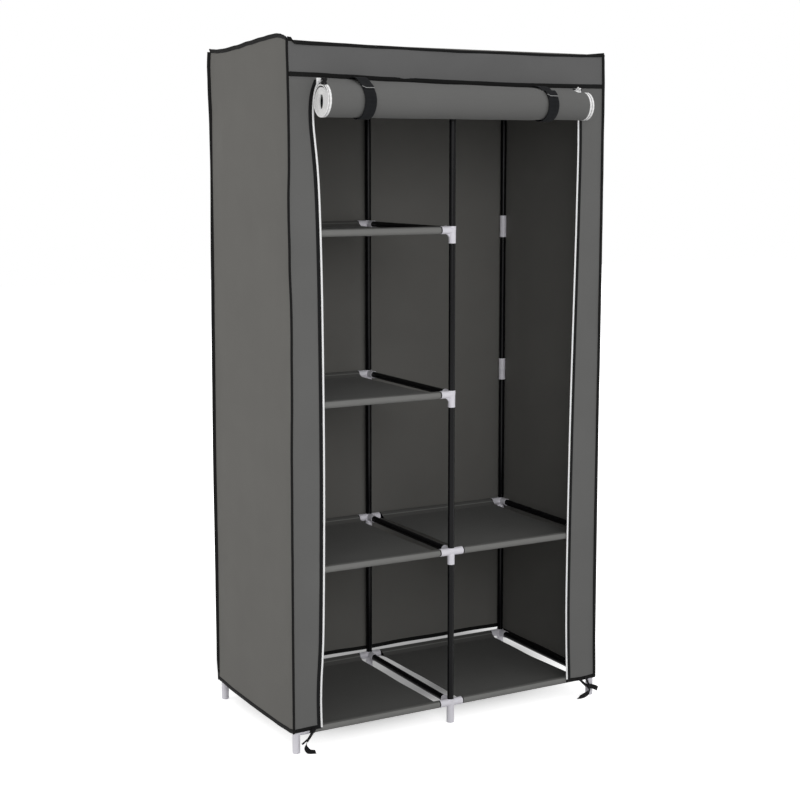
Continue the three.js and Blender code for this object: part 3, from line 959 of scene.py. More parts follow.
def add_part(whole, part, origin=(0, 0, 0), axis=(0, 0, 1)):
    """Lays a part's Z axis along the given axis, moves it to the origin given and adds it."""
    turn = Vector((0, 0, 1)).rotation_difference(Vector(axis)).to_matrix().to_4x4()
    bmesh.ops.transform(part, matrix=Matrix.Translation(Vector(origin)) @ turn, verts=part.verts)
    spare = bpy.data.meshes.new("spare")
    part.to_mesh(spare)
    part.free()
    whole.from_mesh(spare)
    bpy.data.meshes.remove(spare)


def pipe_outline(inner, outer, low, high, edge):
    """The outline of a pipe with its rims eased by edge."""
    return [(inner, low + edge), (inner + edge, low), (outer - edge, low), (outer, low + edge),
            (outer, high - edge), (outer - edge, high), (inner + edge, high), (inner, high - edge)]


print("turning helper ready")

# %% [markdown]
# ## Tubes
# The uprights are short tubes, pushed into the connectors from above and below. Between the
# connectors only black tube shows.

# %% Sizes read from the frame
post_low, post_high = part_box("post_front_left")
tube = (post_high.x - post_low.x) / 2
tube_bore = tube - 0.8 * mm
sleeve_low, sleeve_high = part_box("coupling_front_right_third")
sleeve = (sleeve_high.x - sleeve_low.x) / 2
sleeve_bore = sleeve - 1.2 * mm
arm = 32 * mm
insert = 12 * mm


def box_middle(node):
    """The middle of a node's box, as x, y and z."""
    low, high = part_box(node)
    return [(start + end) / 2 for start, end in zip(low, high)]


def columns_at(level):
    """The posts that a level's rails join. The third and fourth levels have no bay on the right."""
    if level in ("third", "fourth"):
        return ["left", "middle"]
    return ["left", "middle", "right"]


post_x = {column: box_middle(f"post_front_{column}")[0] for column in ("left", "middle", "right")}
post_y = {row: box_middle(f"post_{row}_left")[1] for row in ("front", "rear")}
level_z = {level: box_middle(f"side_rail_left_{level}")[2]
           for level in ("bottom", "second", "third", "fourth", "top")}
print("post axes", {c: round(x / mm, 1) for c, x in post_x.items()}, "tube radius", round(tube / mm, 2))

# %% Uprights


joint_below_rail = 12 * mm
half_gap = 1.5 * mm


def tube_part(length):
    return turned(pipe_outline(tube_bore, tube, 0, length, 0.25 * mm), 32)


for row, y in post_y.items():
    for column, x in post_x.items():
        upright = bmesh.new()
        low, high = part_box(f"post_{row}_{column}")
        joints = [level_z[level] - joint_below_rail for level in ("second", "third", "fourth")]
        starts = [low.z] + [z + half_gap for z in joints]
        ends = [z - half_gap for z in joints] + [high.z]
        for start, end in zip(starts, ends):
            add_part(upright, tube_part(end - start), (x, y, start))
        finished_piece(f"upright_{row}_{column}", upright, [tube_coat],
                       replaces=[f"post_{row}_{column}"])
print("six uprights")

# %% Side rails and hanging rod
for level, z in level_z.items():
    for column in columns_at(level):
        low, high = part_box(f"side_rail_{column}_{level}")
        rail = bmesh.new()
        add_part(rail, tube_part(high.y - low.y), (post_x[column], low.y, z), (0, 1, 0))
        finished_piece(f"rail_{column}_{level}", rail, [tube_coat],
                       replaces=[f"side_rail_{column}_{level}"])
rod_low, rod_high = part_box("hanging_rod")
rod_start = (rod_low.x, box_middle("hanging_rod")[1], level_z["top"])
rod = bmesh.new()
add_part(rod, tube_part(rod_high.x - rod_low.x), rod_start, (1, 0, 0))
finished_piece("clothes_rod", rod, [tube_coat], replaces=["hanging_rod"])
print("thirteen side rails and the rod")

# %% [markdown]
# ## Connectors
# A connector is a sleeve on the post with a socket for each rail. The mouths have a thickened rim with
# a shallow groove behind it, and on a connector with one side arm, above the floor, a curved web
# stiffens the corner below that arm. The bottom ones run down to the floor as feet.

# %% Connector shapes


def mouth_outline(reach, back, wall=sleeve):
    """A socket's outline from its back to its rim, with the groove behind the rim."""
    rim = wall + 0.15 * mm
    return [(sleeve_bore, back), (wall, back), (wall, reach - 4.6 * mm),
            (wall - 0.3 * mm, reach - 4.3 * mm), (wall - 0.3 * mm, reach - 3.9 * mm),
            (rim, reach - 3.5 * mm), (rim, reach - 0.5 * mm), (rim - 0.4 * mm, reach),
            (sleeve_bore + 0.3 * mm, reach), (sleeve_bore, reach - 0.6 * mm)]


def corner_web(side, leg, thickness):
    """The web under an arm: a corner plate with a slightly hollow edge, drawn in x and z."""
    web = bmesh.new()
    reach = sleeve + leg
    start = sleeve - 1.5 * mm
    outline = [(start, -start), (reach, -start)]
    for step in range(1, 8):
        share = step / 8
        hollow = 0.12 * leg * math.sin(math.pi * share)
        outline.append((reach - leg * share - hollow, hollow - sleeve - leg * share))
    outline.append((start, -reach))
    face = web.faces.new([web.verts.new((side * x, -thickness / 2, z)) for x, z in outline])
    pushed = bmesh.ops.extrude_face_region(web, geom=[face])
    moved = [item for item in pushed["geom"] if isinstance(item, bmesh.types.BMVert)]
    bmesh.ops.translate(web, vec=(0, thickness, 0), verts=moved)
    bmesh.ops.recalc_face_normals(web, faces=web.faces)
    return web


print("connector shapes ready")

# %% One connector for each joint of the frame


def make_connector(row, column, level):
    """A connector with its sleeve on the post and a socket for each rail that meets there."""
    x, y, z = post_x[column], post_y[row], level_z[level]
    columns = columns_at(level)
    inward = 1 if row == "front" else -1
    index = columns.index(column)
    whole = bmesh.new()
    if level == "bottom":
        rim = sleeve + 0.15 * mm
        sole = -z + 10 * mm
        foot = [(0, -z), (sleeve - 0.8 * mm, -z), (sleeve, -z + 0.8 * mm),
                (sleeve, sleeve - 3.6 * mm), (rim, sleeve - 3.2 * mm), (rim, sleeve - 0.4 * mm),
                (sleeve - 0.3 * mm, sleeve), (sleeve_bore + 0.4 * mm, sleeve),
                (sleeve_bore, sleeve - 0.5 * mm), (sleeve_bore, sole), (0, sole)]
        add_part(whole, turned(foot, 36), (x, y, z))
    else:
        down = mouth_outline(32.5 * mm, 0, sleeve - 0.5 * mm)
        add_part(whole, turned(down, 36), (x, y, z), (0, 0, -1))
        if level == "top":
            cap = [(0, sleeve), (sleeve - 1.4 * mm, sleeve), (sleeve - 0.4 * mm, sleeve - 0.4 * mm),
                   (sleeve, sleeve - 1.4 * mm), (sleeve, -0.5 * mm), (sleeve_bore, -0.5 * mm),
                   (sleeve_bore, sleeve - 1.5 * mm), (0, sleeve - 1.5 * mm)]
            add_part(whole, turned(cap, 36), (x, y, z))
        else:
            add_part(whole, turned(mouth_outline(sleeve, -0.5 * mm), 36), (x, y, z))
    ways = [(0, inward, 0)]
    if index > 0:
        ways.append((-1, 0, 0))
    if index < len(columns) - 1:
        ways.append((1, 0, 0))
    for way in ways:
        add_part(whole, turned(mouth_outline(arm, 0), 36), (x, y, z), way)
        if level != "bottom" and way[0] and len(ways) == 2:
            add_part(whole, corner_web(way[0], 8 * mm, 4.5 * mm), (x, y, z))
    finished_piece(f"connector_{row}_{column}_{level}", whole, [connector_white],
                   replaces=[f"connector_row_{row}_{level}"], crease=35)


for level in level_z:
    for row in post_y:
        for column in columns_at(level):
            make_connector(row, column, level)
print("connectors on", len(level_z), "levels")

# %% Cross rails inside the shelf hems
for level, z in level_z.items():
    columns = columns_at(level)
    for row, y in post_y.items():
        for start, end in zip(columns, columns[1:]):
            low = post_x[start] + arm - insert
            high = post_x[end] - arm + insert
            rail = bmesh.new()
            add_part(rail, tube_part(high - low), (low, y, z), (1, 0, 0))
            finished_piece(f"cross_rail_{row}_{start}_{level}", rail, [tube_coat],
                           replaces=[f"connector_row_{row}_{level}"])
print("cross rails on", len(level_z), "levels")

# %% Couplings and rod holders
for row, y in post_y.items():
    for level in ("third", "fourth"):
        low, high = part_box(f"coupling_{row}_right_{level}")
        half = (high.z - low.z) / 2
        rim = sleeve + 0.15 * mm
        groove = sleeve - 0.25 * mm
        lower = [(sleeve_bore, -half + 0.5 * mm), (sleeve_bore + 0.4 * mm, -half),
                 (sleeve - 0.2 * mm, -half), (rim, -half + 0.4 * mm), (rim, -half + 3.4 * mm),
                 (groove, -half + 3.8 * mm), (groove, -1.6 * mm), (sleeve, -1.2 * mm)]
        ring = lower + [(radius, -height) for radius, height in reversed(lower)]
        whole = bmesh.new()
        add_part(whole, turned(ring, 36), (post_x["right"], y, (low.z + high.z) / 2))
        finished_piece(f"post_coupling_{row}_{level}", whole, [connector_white],
                       replaces=[f"coupling_{row}_right_{level}"], crease=35)
for column, side in (("middle", 1), ("right", -1)):
    low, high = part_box(f"rod_holder_{column}")
    middle = (post_x[column], (low.y + high.y) / 2, level_z["top"])
    half = (high.y - low.y) / 2
    whole = bmesh.new()
    for way in ((0, 1, 0), (0, -1, 0)):
        add_part(whole, turned(mouth_outline(half, 0), 36), middle, way)
    add_part(whole, turned(mouth_outline(arm, 0), 36), middle, (side, 0, 0))
    finished_piece(f"rod_carrier_{column}", whole, [connector_white],
                   replaces=[f"rod_holder_{column}"], crease=35)
print("four couplings and two rod holders")

# %% [markdown]
# ## Shelves
# A shelf is one cloth, folded round the front rail and the back rail and sewn to itself. The pull
# between the rails draws each seam to the height of their middles, so the fold has the section of a
# drop. It is drawn here as one path, from one seam to the other. The middle sags a little.

# %% The section of a shelf


def shelf_section(front, back, fold, steps):
    """The section's points (y, z) from one seam to the other, round both rails, at even steps. Fold is
    the radius of the cloth round a rail."""
    seam = 25 * mm
    front_seam = -0.6 * mm
    back_seam = -4.2 * mm
    under_seam = 1.3 * mm
    leave = math.degrees(math.acos(fold / seam))
    shares = [step / 24 for step in range(25)]
    points = [(front + seam, front_seam - under_seam)]
    for share in shares:
        turn = math.radians(mixed(-leave, leave - 360, share))
        points.append((front + fold * math.cos(turn), fold * math.sin(turn)))
    for share in shares:
        height = mixed(front_seam, back_seam, share)
        points.append((mixed(front + seam, back - seam, share), height))
    for share in shares:
        turn = math.radians(mixed(180 - leave, leave - 180, share))
        points.append((back + fold * math.cos(turn), fold * math.sin(turn)))
    points.append((back - seam, back_seam - under_seam))
    lengths = [0.0]
    for (y1, z1), (y2, z2) in zip(points, points[1:]):
        lengths.append(lengths[-1] + math.hypot(y2 - y1, z2 - z1))
    even = []
    index = 0
    for step in range(steps + 1):
        goal = lengths[-1] * step / steps
        while index < len(points) - 2 and lengths[index + 1] < goal:
            index += 1
        share = (goal - lengths[index]) / (lengths[index + 1] - lengths[index])
        even.append((mixed(points[index][0], points[index + 1][0], share),
                     mixed(points[index][1], points[index + 1][1], share)))
    return even, lengths[-1]


shelf_steps = 160
section, section_length = shelf_section(post_y["front"], post_y["rear"], tube + cloth, shelf_steps)
print(f"shelf cloth is {section_length / mm:.0f} mm long before it is folded")

# %% Lay the shelves
shelves = {"left": ("bottom", "second", "third", "fourth"), "right": ("bottom", "second")}
inner_edge_bow = {"left": 4 * mm, "right": 9 * mm}


def lay_shelf(bay, level, seed):
    """One shelf, folded round its rails. Its edge at the middle post bows outwards between them."""
    low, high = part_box(f"shelf_{bay}_{level}")

    def place(u, v):
        y, z = section[round(v * shelf_steps)]
        depth = (y - post_y["front"]) / (post_y["rear"] - post_y["front"])
        hang = math.sin(math.pi * min(max(depth, 0), 1))
        bow = inner_edge_bow[bay] * hang * (u if bay == "left" else 1 - u)
        x = mixed(low.x, high.x, u) + bow
        slack = 0.6 + 0.4 * abs(2 * u - 1) ** 3
        sag = (3 * mm * slack + ripple(x, y, seed, 0.11, 1.6 * mm)) * hang ** 1.5
        return Vector((x, y, level_z[level] + z - sag + ripple(x, seed, 3.0, 0.05, 0.2 * mm)))

    def paint(u, v):
        """The hem round a rail catches more light, so its cloth is painted a shade paler, a painted
        highlight. The rest of the sheet takes the cloth painted darker, a painted shade.
        """
        y, z = section[round(v * shelf_steps)]
        rail = min(abs(y - post_y["front"]), abs(y - post_y["rear"]))
        return 1 if rail < tube + 4 * mm and z < 6 * mm else 0

    width = high.x - low.x
    build = laid_grid(30, shelf_steps, place, (width, section_length), paint=paint)
    shelf = finished_piece(
        f"shelf_cloth_{bay}_{level}", thicken(build, cloth), [shelf_cloth, hem_cloth_painted_light],
        replaces=[f"shelf_{bay}_{level}"])


for bay, levels in shelves.items():
    for number, level in enumerate(levels):
        lay_shelf(bay, level, 20.0 + number + (5 if bay == "right" else 0))
print("six shelves")

# %% [markdown]
# ## Zips
# Each stile has half a zip: a black tape sewn along its edge and a white coil on the opening's side.
# The coil is one long grid whose section swells and shrinks at every tooth.

# %% Zip halves on the stiles


tooth_pitch = 1.8 * mm


def zip_half(side, edge_x, name):
    """The tape and the coil along one zip edge. It gives the number of teeth."""
    low = hem_z + 3 * mm
    high = seam_z - 2 * mm
    length = high - low

    def tape_point(u, v):
        z = mixed(low, high, u)
        x = edge_x(z) + side * mixed(-1.5 * mm, 9.8 * mm, v)
        return Vector((x, front_y - 1.1 * mm - 0.5 * mm * math.sin(math.pi * v), z))

    build = laid_grid(150, 6, tape_point, (length, 0.011))
    face_towards(build, Vector((0, -1, 0)))
    finished_piece(f"zip_tape_{name}", thicken(build, 0.7 * mm), [zip_tape_black])

    teeth = round(length / tooth_pitch)

    def coil_point(u, v):
        z = mixed(low, high, u)
        tooth = 0.5 + 0.5 * math.cos(2 * math.pi * u * teeth)
        turn = 2 * math.pi * v
        across = (2.4 + 0.4 * tooth) * mm * math.cos(turn)
        out = (1.25 + 0.3 * tooth) * mm * math.sin(turn)
        return Vector((edge_x(z) - side * 1.6 * mm + across, front_y - 1.3 * mm - out, z))

    build = laid_grid(teeth * 2, 8, coil_point, (length, 0.012), closed=True)
    close_ends(build)
    finished_piece(f"zip_coil_{name}", build, [zip_white], crease=80)
    return teeth


print("teeth on the left:", zip_half(-1, left_zip_x, "left"))
print("teeth on the right:", zip_half(1, right_zip_x, "right"))

# %% [markdown]
# ## The rolled door
# The door is wound about eight times. The outer lap is loose at the top, and the heart of the roll is
# pressed into an upright slit. Its last turns are painted black, for the door's black lower hem and as
# painted shade in the dark slit. Both long edges of the door carry zip tape, so each end of the roll
# shows white bands, with a thin line of the cloth's grey between them as a painted shadow line. The
# straps pull the roll in slightly, and towards its right end it is wound tighter and sits a little
# lower.

# %% The roll's sheet of cloth
roll_low, roll_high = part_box("rolled_door")
roll_y = (roll_low.y + roll_high.y) / 2
roll_z = (roll_low.z + roll_high.z) / 2
roll_length = roll_high.x - roll_low.x
straps = {}
for side in ("left", "right"):
    low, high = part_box(f"door_strap_{side}")
    straps[side] = ((low.x + high.x) / 2, (high.x - low.x) / 2)
door_length = 1.45
roll_turns = 8
black_heart_from = 7.3
turn_steps = 26
roll_start = math.radians(107)
slim_from = 0.05
slim_share = 0.09
narrow_from = 0.15
wide_left, wide_right = 41 * mm, 36.5 * mm
tall_left, tall_right = 39.2 * mm, 38 * mm
heart_wide, heart_tall = 9.5 * mm, 21 * mm
pinch_width = 26 * mm


def slimmer(x):
    """The share by which the roll is less high at x than at its left end."""
    return slim_share * soft_step((x - slim_from) / (roll_high.x - slim_from))


def sunk(x):
    """How far the roll's middle lies lower at x than at its left end."""
    return 16 * mm * slimmer(x)


def roll_radii(x):
    """How far the outer lap reaches along y and along z, and how far back its middle lies."""
    slim = soft_step((x - narrow_from) / (roll_high.x - narrow_from))
    pinch = sum(math.exp(-(((x - place) / pinch_width) ** 2)) for place, half in straps.values())
    wide = mixed(wide_left, wide_right, slim) - 1.5 * mm * pinch
    tall = mixed(tall_left, tall_right, slim) * (1 - slimmer(x)) - 1.2 * mm * pinch
    return wide, tall, 4.6 * mm * slim


def roll_spot(x, turn, swell=0.0):
    """A point of the door's sheet in the roll, by its place along it and the turns wound so far."""
    angle = roll_start + turn * 2 * math.pi
    share = turn / roll_turns
    wide, tall, back = roll_radii(x)
    second_lap = soft_step((turn - 0.75) / 0.5)
    wide = mixed(wide, heart_wide, share)
    tall = mixed(tall, heart_tall, share) - 2.5 * mm * second_lap
    loose = ripple(x, angle * 0.03, 11.0, 0.13, 1.0 * mm)
    loose += ripple(x, angle * 0.01, 12.0, 0.04, 0.3 * mm)
    swell += loose * (1 - share)
    return Vector((x, roll_y + back + (wide + swell) * math.cos(angle),
                   roll_z - sunk(x) - 3 * mm * second_lap + (tall + swell) * math.sin(angle)))


print("roll", round(roll_length / mm), "mm long,", roll_turns, "turns")

# %% White tape at the roll's ends
# The gap between the white bands, 1.2 to 2.2 mm on the left and 5.4 to 7 mm on the right, is cloth left
# grey as a painted shadow line.
left_lines = [0, 1.2, 2.2, 3.2, 5.4, 7.5]
right_lines = [0, 2.8, 5.4, 7.0, 9.6, 12.2]
along_roll = [line * mm / roll_length for line in left_lines]
inner_start = along_roll[-1]
inner_end = 1 - right_lines[-1] * mm / roll_length
along_roll += [mixed(inner_start, inner_end, step / 64) for step in range(1, 64)]
along_roll += [1 - line * mm / roll_length for line in reversed(right_lines)]


def in_white_band(place, turn):
    """Whether the tape is white at a place along the roll. Inner turns show only their edge. On the
    outer lap the gap between the two white bands is left in the cloth's grey, a painted shadow line.
    """
    left = place * roll_length
    right = (1 - place) * roll_length
    if turn > 1.06:
        return left < 3.2 * mm or right < 2.8 * mm
    if place < 0.5:
        return left < 1.2 * mm or 2.2 * mm < left < 7.5 * mm
    return right < 5.4 * mm or 7 * mm < right < 12.2 * mm


def wound(u, v):
    """A point of the sheet. The white bands stand out by half a millimetre on the outer lap."""
    place = along_roll[round(u * (len(along_roll) - 1))]
    turn = v * roll_turns
    band = 0.5 * mm if turn < 1.02 and in_white_band(place, turn) else 0
    return roll_spot(mixed(roll_low.x, roll_high.x, place), turn, band)


def roll_paint(u, v):
    """Cloth is 0, white tape 1 and black 2. The black in the heart of the roll is painted for the door's
    black lower hem and as painted shade in its dark slit.
    """
    index = int(u * (len(along_roll) - 1))
    middle = (along_roll[index] + along_roll[index + 1]) / 2
    turn = v * roll_turns
    if not in_white_band(middle, turn):
        return 2 if turn > black_heart_from else 0
    return 2 if middle < 0.5 and turn < 0.03 else 1


roll_build = laid_grid(
    len(along_roll) - 1, roll_turns * turn_steps, wound, (roll_length, door_length), paint=roll_paint)


def outward(build):
    """Turns the faces so that they look away from the roll's axis."""
    total = 0
    for face in build.faces:
        middle = face.calc_center_median()
        total += face.normal.y * (middle.y - roll_y) + face.normal.z * (middle.z - roll_z)
    if total < 0:
        bmesh.ops.reverse_faces(build, faces=build.faces)
    return build


door_roll = finished_piece(
    "door_roll_cloth", thicken(outward(roll_build), 1.9 * mm),
    [front_cloth, zip_tape_white, zip_tape_black], body="door_roll",
    replaces=["rolled_door"])
print("rolled door with", len(door_roll.data.polygons), "faces")

# %% [markdown]
# Between the header and the roll a strip of the door shows. What hangs below the header once the door
# is down is the door: a sheet that waits behind the roll.

# %% Strip of door above the roll
strip_low, strip_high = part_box("door_strip")
strip_width = strip_high.x - strip_low.x
strip_length = 62 * mm


def strip_point(u, v):
    """An arch from the header's seam to the roll. Its left edge spreads towards the roll's end, and
    its right edge is tucked in."""
    spread = soft_step((v - 0.15) / 0.85)
    tucked = soft_step(v / 0.6)
    left = strip_low.x - 0.5 * mm - 22 * mm * spread
    right = strip_high.x - 3 * mm - 20 * mm * tucked
    x = mixed(left, right, u)
    start = Vector((x, front_y - 1.2 * mm, seam_rule(x / mm) * mm - 0.6 * mm))
    end = roll_spot(x, 0)
    leave = Vector((0, -1, -0.02)) * strip_length
    arrive = Vector((0, -math.sin(roll_start), math.cos(roll_start))) * strip_length
    spot = curved(start, leave, end, arrive, v)
    uneven = ripple(x, 0, 31.0, 0.09, 1.2 * mm) * math.sin(math.pi * v)
    return Vector((x, spot.y, spot.z - uneven))


def strip_paint(u, v):
    """Cloth is 0, and the zip tape along both edges black, 2, or white, 1, at the right by the roll."""
    edge = min(u, 1 - u) * strip_width
    if edge > 10 * mm:
        return 0
    return 2 if u < 0.5 or v < 0.7 else 1


strip_build = laid_grid(144, 12, strip_point, (strip_width, strip_length), paint=strip_paint)
face_towards(strip_build, Vector((0, 0, 1)))
door_strip = finished_piece(
    "door_strip_cloth", thicken(strip_build, cloth), [front_cloth, zip_tape_white, zip_tape_black],
    replaces=["door_strip"])
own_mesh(door_strip)
print("strip is", round(strip_length / mm), "mm from seam to roll")

# %% The hanging part of the door
hang_rows = 90
hang_top = seam_z - 2 * mm
hang_end = roll_z
beside_coil = 3.4 * mm
tape_lines = [0, 0.004, 0.010, 0.017]
tape_edge = tape_lines[-1]
hang_lines = tape_lines + [mixed(tape_edge, 1 - tape_edge, step / 24) for step in range(1, 24)]
hang_lines += [1 - line for line in reversed(tape_lines)]
hang_columns = len(hang_lines) - 1
drop = next(joint for joint in frame["joints"] if joint["name"] == "door_drop")["range_m"][1]


def share_at(weight):
    """The share down the sheet at which a soft step from 0 to 1 reaches this weight."""
    low, high = 0.0, 1.0
    for halving in range(40):
        middle = (low + high) / 2
        if soft_step(middle) < weight:
            low = middle
        else:
            high = middle
    return (low + high) / 2


def hang_point(u, v):
    """A point behind the roll, set at the width between the two zips at the height it would reach if
    lowered by the door's drop times its weight.
    """
    weight = 1 - v
    z = mixed(hang_top, hang_end, share_at(weight))
    lowered = z - drop * weight
    left = left_zip_x(lowered) + beside_coil
    right = right_zip_x(lowered) - beside_coil
    x = mixed(left, right, hang_lines[round(u * hang_columns)])
    return Vector((x, front_y - 0.1 * mm, z))


hang_build = laid_grid(
    hang_columns, hang_rows, hang_point, (0.71, 0.05),
    paint=lambda u, v: 1 if min(u, 1 - u) * hang_columns < 3 else 0)
door_hanging = finished_piece(
    "door_hanging_cloth", thicken(hang_build, 1.0 * mm), [front_cloth, zip_tape_white],
    body=None)
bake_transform(door_hanging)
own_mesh(door_roll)
print("the door drops", round(drop, 3), "m")

# %% [markdown]
# Each strap is one length of black webbing from the header's seam. It passes behind the roll, under it
# and up its front. The short upper length is stiff: it leaves the seam level, arches over the roll and
# lies on the longer one, closed by hook and loop. Its cut end shows as a pale line.

# %% Smooth curves through points


def smooth_route(points):
    """A smooth curve through points of any number of values, for shares from 0 to 1."""
    def value(u):
        at = u * (len(points) - 1)
        index = min(int(at), len(points) - 2)
        t = at - index
        near = [points[min(max(index + k, 0), len(points) - 1)] for k in (-1, 0, 1, 2)]
        made = []
        for before, start, end, after in zip(*near):
            made.append(curved(start, (end - before) / 2, end, (after - start) / 2, t))
        return made
    return value


print("halfway between two points:", smooth_route([(0, 0), (1, 2)])(0.5))

# %% The straps' paths, seen from the end of the roll
strap_thick = 1.5 * mm
strap_arch = [(0, 0), (-9, 2.6), (-22, 4.4), (-36, 3.8), (-50, -0.2), (-62.5, -8.5)]
over_roll = 44.3
under_roll = 42.2


def around(x, radius, degrees):
    """The point of a circle round the roll's middle, in millimetres and degrees. The circle is
    lowered and flattened at x as the roll is."""
    turn = math.radians(degrees)
    up = radius * mm * math.sin(turn) * (1 - slimmer(x)) - sunk(x)
    return Vector((0, roll_y + radius * mm * math.cos(turn), roll_z + up))


def upper_path(x, anchor, closing):
    """From the seam over the roll to the strap's cut end, at the closing angle in degrees."""
    lower = around(x, over_roll, 90).z - around(-x, over_roll, 90).z if x > 0 else 0
    spots = []
    for y, z in strap_arch:
        spots.append(anchor + Vector((0, y * mm, z * mm + lower * soft_step(y / strap_arch[-1][0]))))
    first = math.degrees(math.atan2(spots[-1].z - roll_z, spots[-1].y - roll_y))
    steps = 6
    for step in range(1, steps + 1):
        spots.append(around(x, over_roll, mixed(first, closing, step / steps)))
    curve = smooth_route([(spot.y, spot.z) for spot in spots])
    return [Vector((0, *curve(step / 60))) for step in range(61)]


def lower_path(x, anchor, closing, slack):
    """From under the upper length down round the front, below the roll and up behind it. Slack is
    how far from the roll's middle it hangs in front."""
    reach = smooth_rule([
        (closing, over_roll - 1.9), (180, slack), (262, under_roll), (330, 41.6), (360, 41.8)])
    back = math.degrees(math.atan2(anchor.z - roll_z, anchor.y - roll_y))
    away = math.hypot(anchor.z - roll_z, anchor.y - roll_y) / mm
    leave = 360 + back - math.degrees(math.acos(under_roll / away))
    start = closing - 22
    path = []
    for step in range(61):
        angle = mixed(start, leave, step / 60)
        path.append(around(x, reach(angle), angle))
    return path + [anchor + Vector((0, 0.5 * mm, -1.8 * mm))]


def strap_line(points, half, middle):
    """A strap along points in y and z, and its length. Half is half its width and middle is its place
    in x."""
    lengths = [0.0]
    for first, second in zip(points, points[1:]):
        lengths.append(lengths[-1] + (second - first).length)

    def place(u, v):
        goal = lengths[-1] * u
        index = 0
        while index < len(points) - 2 and lengths[index + 1] < goal:
            index += 1
        share = (goal - lengths[index]) / (lengths[index + 1] - lengths[index])
        spot = points[index].lerp(points[index + 1], share)
        return Vector((middle + half * (2 * v - 1), spot.y, spot.z))

    return laid_grid(72, 6, place, (lengths[-1], 2 * half)), lengths[-1]


print("strap paths ready")

# %% Straps
for side, closing, slack in (("left", 138, 45.5), ("right", 148, 43.3)):
    middle, half = straps[side]
    half -= 0.3 * mm
    anchor = Vector((0, front_y - 1.6 * mm, seam_rule(middle / mm) * mm - 1 * mm))
    made = []
    for name, path in ((f"strap_end_{side}", upper_path(middle, anchor, closing)),
                       (f"strap_loop_{side}", lower_path(middle, anchor, closing, slack))):
        build, length = strap_line(path, half, middle)
        made.append(finished_piece(name, thicken(outward(build), strap_thick), [strap_webbing],
                                   replaces=[f"door_strap_{side}"]))
        print(f"{name} is {length / mm:.0f} mm long")
    edge_way = (around(middle, 1, closing) - around(middle, 0, closing)).normalized()

    def cut_end(u):
        curl = -7 * max(0, 1 - u / 0.3) ** 1.5
        spot = around(middle, over_roll - 0.3, closing + curl)
        return spot + Vector((middle + half * (2 * u - 1), 0, 0))

    made.append(bound_line(f"strap_cut_{side}", cut_end, lambda u: edge_way, 1.6 * mm, 1.3 * mm, 24,
                           2 * half, inset=0.8 * mm, finish=pale_cut_end_line))
    for piece in made:
        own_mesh(piece)

# %% [markdown]
# ## Zip sliders and pulls
# The slider is a small cast body with two ears and a pin. The pull is a flat ring with rounded corners
# that swings on the pin. The right slider's body sits a little lower behind its pin than the left one.

# %% Sliders and pulls


def eased_block(width, depth, height, centre, ease):
    """A block with rounded edges."""
    part = bmesh.new()
    bmesh.ops.create_cube(part, size=1)
    bmesh.ops.scale(part, vec=(width, depth, height), verts=part.verts)
    bmesh.ops.bevel(part, geom=part.edges[:], offset=ease, offset_type="OFFSET", segments=3,
                    profile=0.5, affect="EDGES", material=-1, clamp_overlap=True)
    bmesh.ops.translate(part, vec=centre, verts=part.verts)
    return part


def ring_plate(half_width, half_height, rim, thick, centre):
    """A flat ring with rounded corners."""
    def place(u, v):
        turn = 2 * math.pi * u
        wide = half_width - rim * v
        tall = half_height - rim * v
        return Vector((wide * squarer(math.cos(turn), 0.6), 0, tall * squarer(math.sin(turn), 0.6)))

    part = laid_grid(48, 2, place, (0.04, rim), closed=True)
    bmesh.ops.solidify(part, geom=part.faces[:], thickness=thick)
    low = min(vertex.co.y for vertex in part.verts)
    high = max(vertex.co.y for vertex in part.verts)
    bmesh.ops.translate(part, vec=Vector(centre) - Vector((0, (low + high) / 2, 0)), verts=part.verts)
    return part


bush_radius = 1.9 * mm
tab_height = 14.5 * mm
for side, bottom, top in (("left", 1583 * mm, 1600.5 * mm), ("right", 1574.5 * mm, 1586.5 * mm)):
    low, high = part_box(f"zip_slider_{side}")
    pull_low, pull_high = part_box(f"zip_pull_{side}")
    x = (low.x + high.x) / 2
    eye = pull_high.z - bush_radius
    front = (pull_low.y + pull_high.y) / 2
    body = bmesh.new()
    middle = (x, high.y - 2 * mm, (bottom + top) / 2)
    add_part(body, eased_block(high.x - low.x, 4 * mm, top - bottom, middle, 1.1 * mm))
    middle = (x, high.y - 4.3 * mm, low.z + 5.6 * mm)
    add_part(body, eased_block(7.4 * mm, 1.0 * mm, 9 * mm, middle, 0.45 * mm))
    depth = high.y - 3 * mm - low.y
    for ear in (-1, 1):
        middle = (x + ear * 3.05 * mm, low.y + depth / 2, eye)
        add_part(body, eased_block(1.5 * mm, depth, 3.0 * mm, middle, 0.5 * mm))
    pin = turned([(0, -3.7 * mm), (0.8 * mm, -3.7 * mm), (0.8 * mm, 3.7 * mm), (0, 3.7 * mm)], 16)
    add_part(body, pin, (x, front, eye), (1, 0, 0))
    finished_piece(f"slider_{side}", body, [zip_white], body=f"zip_slider_{side}",
                   replaces=[f"zip_slider_{side}"])
    tab = bmesh.new()
    middle = (x, front, pull_low.z + tab_height / 2)
    add_part(tab, ring_plate(4.5 * mm, tab_height / 2, 2.3 * mm, 1.2 * mm, middle))
    add_part(tab, eased_block(3.6 * mm, 1.2 * mm, 5 * mm, (x, front, eye - 3.4 * mm), 0.4 * mm))
    bush = turned(pipe_outline(1.1 * mm, bush_radius, -2 * mm, 2 * mm, 0.25 * mm), 20)
    add_part(tab, bush, (x, front, eye), (1, 0, 0))
    finished_piece(f"pull_{side}", tab, [zip_white], body=f"zip_pull_{side}",
                   replaces=[f"zip_pull_{side}"])
print("two sliders and two pulls")

# %% [markdown]
# ## Ties
# A black ribbon is knotted round each front corner of the hem. Its tails twist, so they look wide in
# one place and narrow in another.

# %% Ribbons


